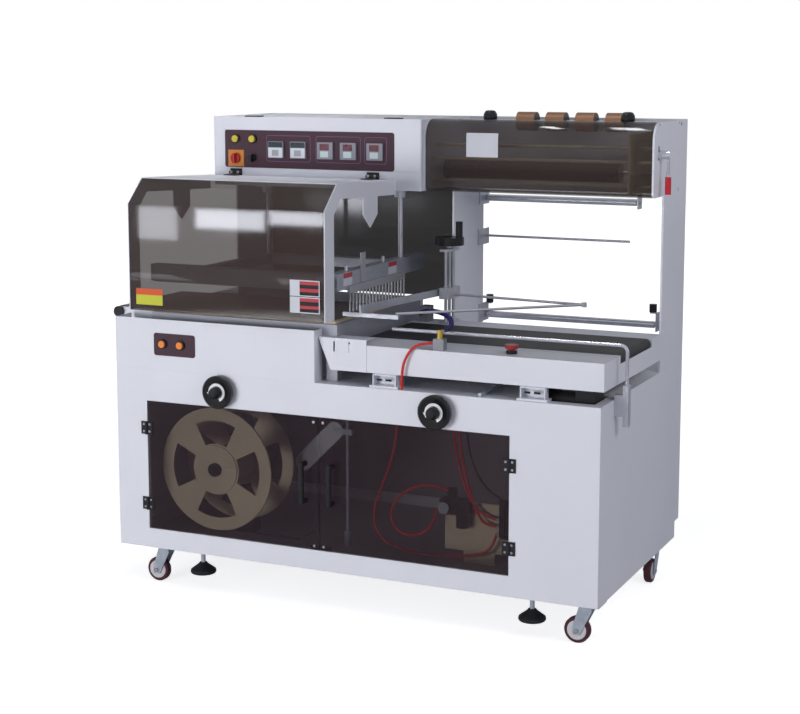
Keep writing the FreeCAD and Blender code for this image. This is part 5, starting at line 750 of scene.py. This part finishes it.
cover_smoke = smoked("smoked_cover_acrylic", shade(54, 43, 40), 0.62, 0.04, 0.4)
# Painted highlight: the steel tie rods get a pale, nearly matt colour that stands for their bright
# reflections.
tie_rod_highlight = finish_of("tie_rod_painted_highlight", shade(226, 214, 186), roughness=0.35, metallic=0.2, spread=0.05,
                     bump=0.0)
bearing_tan = finish_of("tan_bearing_plate", shade(214, 200, 160), roughness=0.5, spread=0.05, bump=0.02)
dress("film_housing", "frame", {"coat": white_coat, "tie": tie_rod_highlight, "tan": bearing_tan}, housing_finish)
dress("film_cover", "frame", {"smoke": cover_smoke, "black": black_gloss},
      lambda x, y, z, n: "black" if z > 1438.2 else "smoke", edge=0.5).visible_shadow = False
notice_line = [(466.6, 1326), (466.6, 1383), (467.0, 1388), (467.9, 1394), (469.0, 1399)]
notice_shape = bmesh.new()
notice_rows = [[notice_shape.verts.new(at(x, y, z)) for x in (971, 1074)] for y, z in notice_line]
for low_row, high_row in zip(notice_rows, notice_rows[1:]):
    notice_shape.faces.new((low_row[0], low_row[1], high_row[1], high_row[0]))
notice = piece_of("blank_notice", notice_shape, plate_white, "frame")
notice_depth = notice.modifiers.new("depth", "SOLIDIFY")
notice_depth.thickness = 0.0003
notice_depth.offset = 0
# Painted shadow: a thin black plate stands for the shade in the lever slot.
thin_plates("lever_slot", "right", 1560.02, 0.2, 4.9, [(509, 519, 1326, 1369)], shadow_black, "frame")
screws("end_plate_screws", [(1559.6, y, z) for z in (1430, 1228) for y in (519, 735)], "right",
       4.5, 2.2, "frame")
rear_smoke = smoked("smoked_rear_acrylic", shade(48, 44, 44), 0.87)
dress("rear_smoked_panel", "frame", {"smoke": rear_smoke}, edge=0.5)
roller_dark = finish_of("dark_roller_rubber", shade(70, 62, 60), roughness=0.45, spread=0.12, bump=0.1)
dress("feed_roller", "feed_roller", {"rubber": roller_dark, "steel": steel},
      lambda x, y, z, n: "steel" if math.hypot(y - 600, z - 1281) < 8 else "rubber", edge=0.5)
tan = finish_of("tan_roller", shade(158, 112, 78), roughness=0.4, spread=0.08, mottle=20, bump=0.05)
# Partly painted shade: the end faces are black for their black bearing hubs and also as the shade on them.
dress("support_roller", "support_roller", {"tan": tan, "steel": steel, "end": black_gloss},
      lambda x, y, z, n: "steel" if math.hypot(y - 760, z - 1426) < 8 and abs(n.x) < 0.9 else (
          "end" if abs(n.x) > 0.9 else "tan"), edge=1.0)
grip_red = finish_of("red_grip", shade(196, 36, 52), roughness=0.35, spread=0.06, bump=0.05)
dress("brake_lever", "brake_lever", {"chrome": chrome, "red": grip_red},
      lambda x, y, z, n: "red" if z < 1280 and math.hypot(x - 1588, y - 520) > 4.5 or z < 1228 else "chrome",
      edge=1.0)
for node in ("upper_film_roller", "lower_film_roller"):
    dress(node, node, {"chrome": chrome}, edge=0.5)
dress("film_brackets", "frame", {"steel": steel, "black": black_gloss},
      lambda x, y, z, n: "black" if 826 < z < 853 and y > 836 and (894 < x < 916 or 1444 < x < 1470)
      else "steel")


# Height column, crank and film triangle: bright rods and bars that spread the film over the belt.
dress("height_column", "frame", {"steel": steel})
dress("film_triangle", "film_triangle", {"steel": steel}, edge=0.4)
dress("height_crank", "height_crank", {"black": black_gloss, "steel": steel},
      lambda x, y, z, n: "steel" if math.hypot(x - 890, y - 532) < 11 and z < 1047 else "black", edge=1.2)


# Product guide and rail fittings: a bent bright rod in a clamp block, the small regulator, the
# nozzle block and the red stop button.
dress("product_guide", "frame", {"chrome": chrome, "steel": steel},
      lambda x, y, z, n: "steel" if x > 1558 and z < 727.5 else "chrome", edge=0.4)
brass = finish_of("brass_fitting", shade(212, 184, 92), roughness=0.3, metallic=0.6, spread=0.08)
fitting_grey = finish_of("fitting_grey", shade(150, 152, 158), roughness=0.4, metallic=0.5, spread=0.1)
dress("rail_fittings", "frame", {"grey": fitting_grey, "brass": brass, "black": black_gloss},
      lambda x, y, z, n: "black" if x > 1200 else ("brass" if z > 835.1 and x > 1000 else "grey"))
stop_red = finish_of("stop_red", shade(156, 40, 44), roughness=0.35, spread=0.06, bump=0.0, coat=0.2)
dress("stop_button", "stop_button", {"red": stop_red}, edge=3.0, outer=True)


# Inside the cabinet: the scrap film reel on its stand and motor, and the filter and valves.
def air_finish(x, y, z, n):
    """Board behind, bright fittings at the valves and the gauge, black bodies."""
    if y > 239.5 and z > 162:
        return "board"
    return "zinc" if 1170 < x < 1189.9 or y < 182.5 and x < 1050 else "black"


reel_card = finish_of("reel_board", shade(206, 190, 165), roughness=0.5, spread=0.06)
dress("scrap_reel", "scrap_reel", {"board": reel_card, "black": black_gloss},
      lambda x, y, z, n: "black" if math.hypot(x - 304, z - 370) < 22 and y < 73.9 else "board")
dress("reel_stand", "frame", {"black": motor_black, "paint": base_coat},
      lambda x, y, z, n: "paint" if z < 129.5 else "black")
dress("air_unit", "frame", {"board": reel_card, "black": black_gloss, "zinc": zinc}, air_finish)


# Floor and light: a pale floor, a large soft lamp low in front on the left, weak ones on the right
# and over the guard, and a sky that is dimmer overhead. The camera sees the sky and the lit floor
# as white. Three windows and two skylights show only as reflections in what is glossy.
FLOOR_REACH = 14
FLOOR_GLOW = 0.74


def white_stage():
    """A matt floor that also glows for the camera, more so away from the machine."""
    mesh = bpy.data.meshes.new("floor")
    corners = [(x * FLOOR_REACH, y * FLOOR_REACH, 0) for x, y in ((-1, -1), (1, -1), (1, 1), (-1, 1))]
    mesh.from_pydata(corners, [], [(0, 1, 2, 3)])
    item = bpy.data.objects.new("floor", mesh)
    bpy.context.scene.collection.objects.link(item)
    paint = bpy.data.materials.new("floor_white")
    paint.use_nodes = True
    nodes, links = paint.node_tree.nodes, paint.node_tree.links
    nodes.clear()
    out = nodes.new("ShaderNodeOutputMaterial")
    matte = nodes.new("ShaderNodeBsdfDiffuse")
    matte.inputs["Color"].default_value = (0.88, 0.88, 0.9, 1)
    glow = nodes.new("ShaderNodeEmission")
    glow.inputs["Color"].default_value = (1, 1, 1, 1)
    both = nodes.new("ShaderNodeAddShader")
    path = nodes.new("ShaderNodeLightPath")
    seen = nodes.new("ShaderNodeMath")
    seen.operation = "MULTIPLY"
    spot = nodes.new("ShaderNodeTexCoord")
    reach = nodes.new("ShaderNodeVectorMath")
    reach.operation = "LENGTH"
    links.new(spot.outputs["Object"], reach.inputs[0])
    swell = nodes.new("ShaderNodeMapRange")
    swell.inputs["From Min"].default_value = 1.2
    swell.inputs["From Max"].default_value = 3.5
    swell.inputs["To Min"].default_value = FLOOR_GLOW
    swell.inputs["To Max"].default_value = 1.0
    links.new(reach.outputs["Value"], swell.inputs["Value"])
    links.new(swell.outputs["Result"], seen.inputs[1])
    either = nodes.new("ShaderNodeMath")
    either.operation = "MAXIMUM"
    links.new(path.outputs["Is Camera Ray"], either.inputs[0])
    links.new(path.outputs["Is Transmission Ray"], either.inputs[1])
    links.new(either.outputs[0], seen.inputs[0])
    links.new(seen.outputs[0], glow.inputs["Strength"])
    links.new(matte.outputs[0], both.inputs[0])
    links.new(glow.outputs[0], both.inputs[1])
    links.new(both.outputs[0], out.inputs["Surface"])
    mesh.materials.append(paint)


white_stage()
world = bpy.data.worlds.new("sky")
bpy.context.scene.world = world
world.use_nodes = True
tree = world.node_tree
tree.nodes.clear()
sky_out = tree.nodes.new("ShaderNodeOutputWorld")
sky_place = tree.nodes.new("ShaderNodeTexCoord")
sky_parts = tree.nodes.new("ShaderNodeSeparateXYZ")
sky_fall = tree.nodes.new("ShaderNodeMapRange")
sky_fall.inputs["To Min"].default_value = 0.5
sky_fall.inputs["To Max"].default_value = 0.1
tree.links.new(sky_place.outputs["Generated"], sky_parts.inputs[0])
tree.links.new(sky_parts.outputs["Z"], sky_fall.inputs["Value"])
sky_path = tree.nodes.new("ShaderNodeLightPath")
skies = []
for color, strength in (((0.88, 0.9, 1.0, 1), None), ((0.95, 0.97, 1, 1), 0.5), ((1, 1, 1, 1), 1.0)):
    sky = tree.nodes.new("ShaderNodeBackground")
    sky.inputs["Color"].default_value = color
    if strength is None:
        tree.links.new(sky_fall.outputs["Result"], sky.inputs["Strength"])
    else:
        sky.inputs["Strength"].default_value = strength
    skies.append(sky.outputs[0])
seen_sky = skies[0]
for ray, sky in (("Is Glossy Ray", skies[1]), ("Is Camera Ray", skies[2])):
    blend = tree.nodes.new("ShaderNodeMixShader")
    tree.links.new(sky_path.outputs[ray], blend.inputs["Fac"])
    tree.links.new(seen_sky, blend.inputs[1])
    tree.links.new(sky, blend.inputs[2])
    seen_sky = blend.outputs[0]
tree.links.new(seen_sky, sky_out.inputs["Surface"])


def soft_lamp(name, place, target, size, power, color=(1, 1, 1), lights=True, shines=False, spread=180):
    """An area lamp: lights says whether it lights matt surfaces, shines whether gloss shows it."""
    lamp = bpy.data.lights.new(name, "AREA")
    lamp.shape = "RECTANGLE"
    lamp.size = size[0]
    lamp.size_y = size[1]
    lamp.energy = power
    lamp.color = color
    lamp.spread = math.radians(spread)
    item = bpy.data.objects.new(name, lamp)
    item.location = place
    item.rotation_euler = (Vector(target) - Vector(place)).to_track_quat("-Z", "Y").to_euler()
    item.visible_diffuse = lights
    item.visible_glossy = shines
    item.visible_transmission = False
    bpy.context.scene.collection.objects.link(item)


soft_lamp("key_lamp", (-2.2, -6.0, 0.9), (0, 0, 0.45), (3.0, 1.6), 195)
soft_lamp("right_lamp", (3.2, -1.2, 2.6), (0.8, 0.3, 1.4), (1.2, 1.0), 26, (0.96, 0.96, 1.0))
soft_lamp("roof_lamp", (-0.5, 0.0, 3.2), (-0.5, 0.0, 1.2), (0.8, 0.6), 1.1, spread=32)
WINDOW_Y = -6.5
for name, left, right, low, high, power in (("left_window", -4.65, -4.32, 0.34, 0.575, 3.0),
                                            ("middle_window", -4.16, -3.6, 0.436, 0.57, 6.4),
                                            ("right_window", -3.56, -3.13, 0.485, 0.577, 3.4)):
    x, z = (left + right) / 2, (low + high) / 2
    soft_lamp(name, (x, WINDOW_Y, z), (x, 0, z), (right - left, high - low), power, (0.88, 0.9, 1.0),
              lights=False, shines=True)
for name, x, wide, power in (("left_skylight", -0.46, 0.07, 6.0), ("right_skylight", -0.09, 0.14, 12.0)):
    soft_lamp(name, (x, -0.5, 4.0), (x, -0.5, 0), (wide, 0.9), power, (0.95, 0.97, 1.0), lights=False,
              shines=True)
bpy.context.scene.view_settings.view_transform = "Standard"
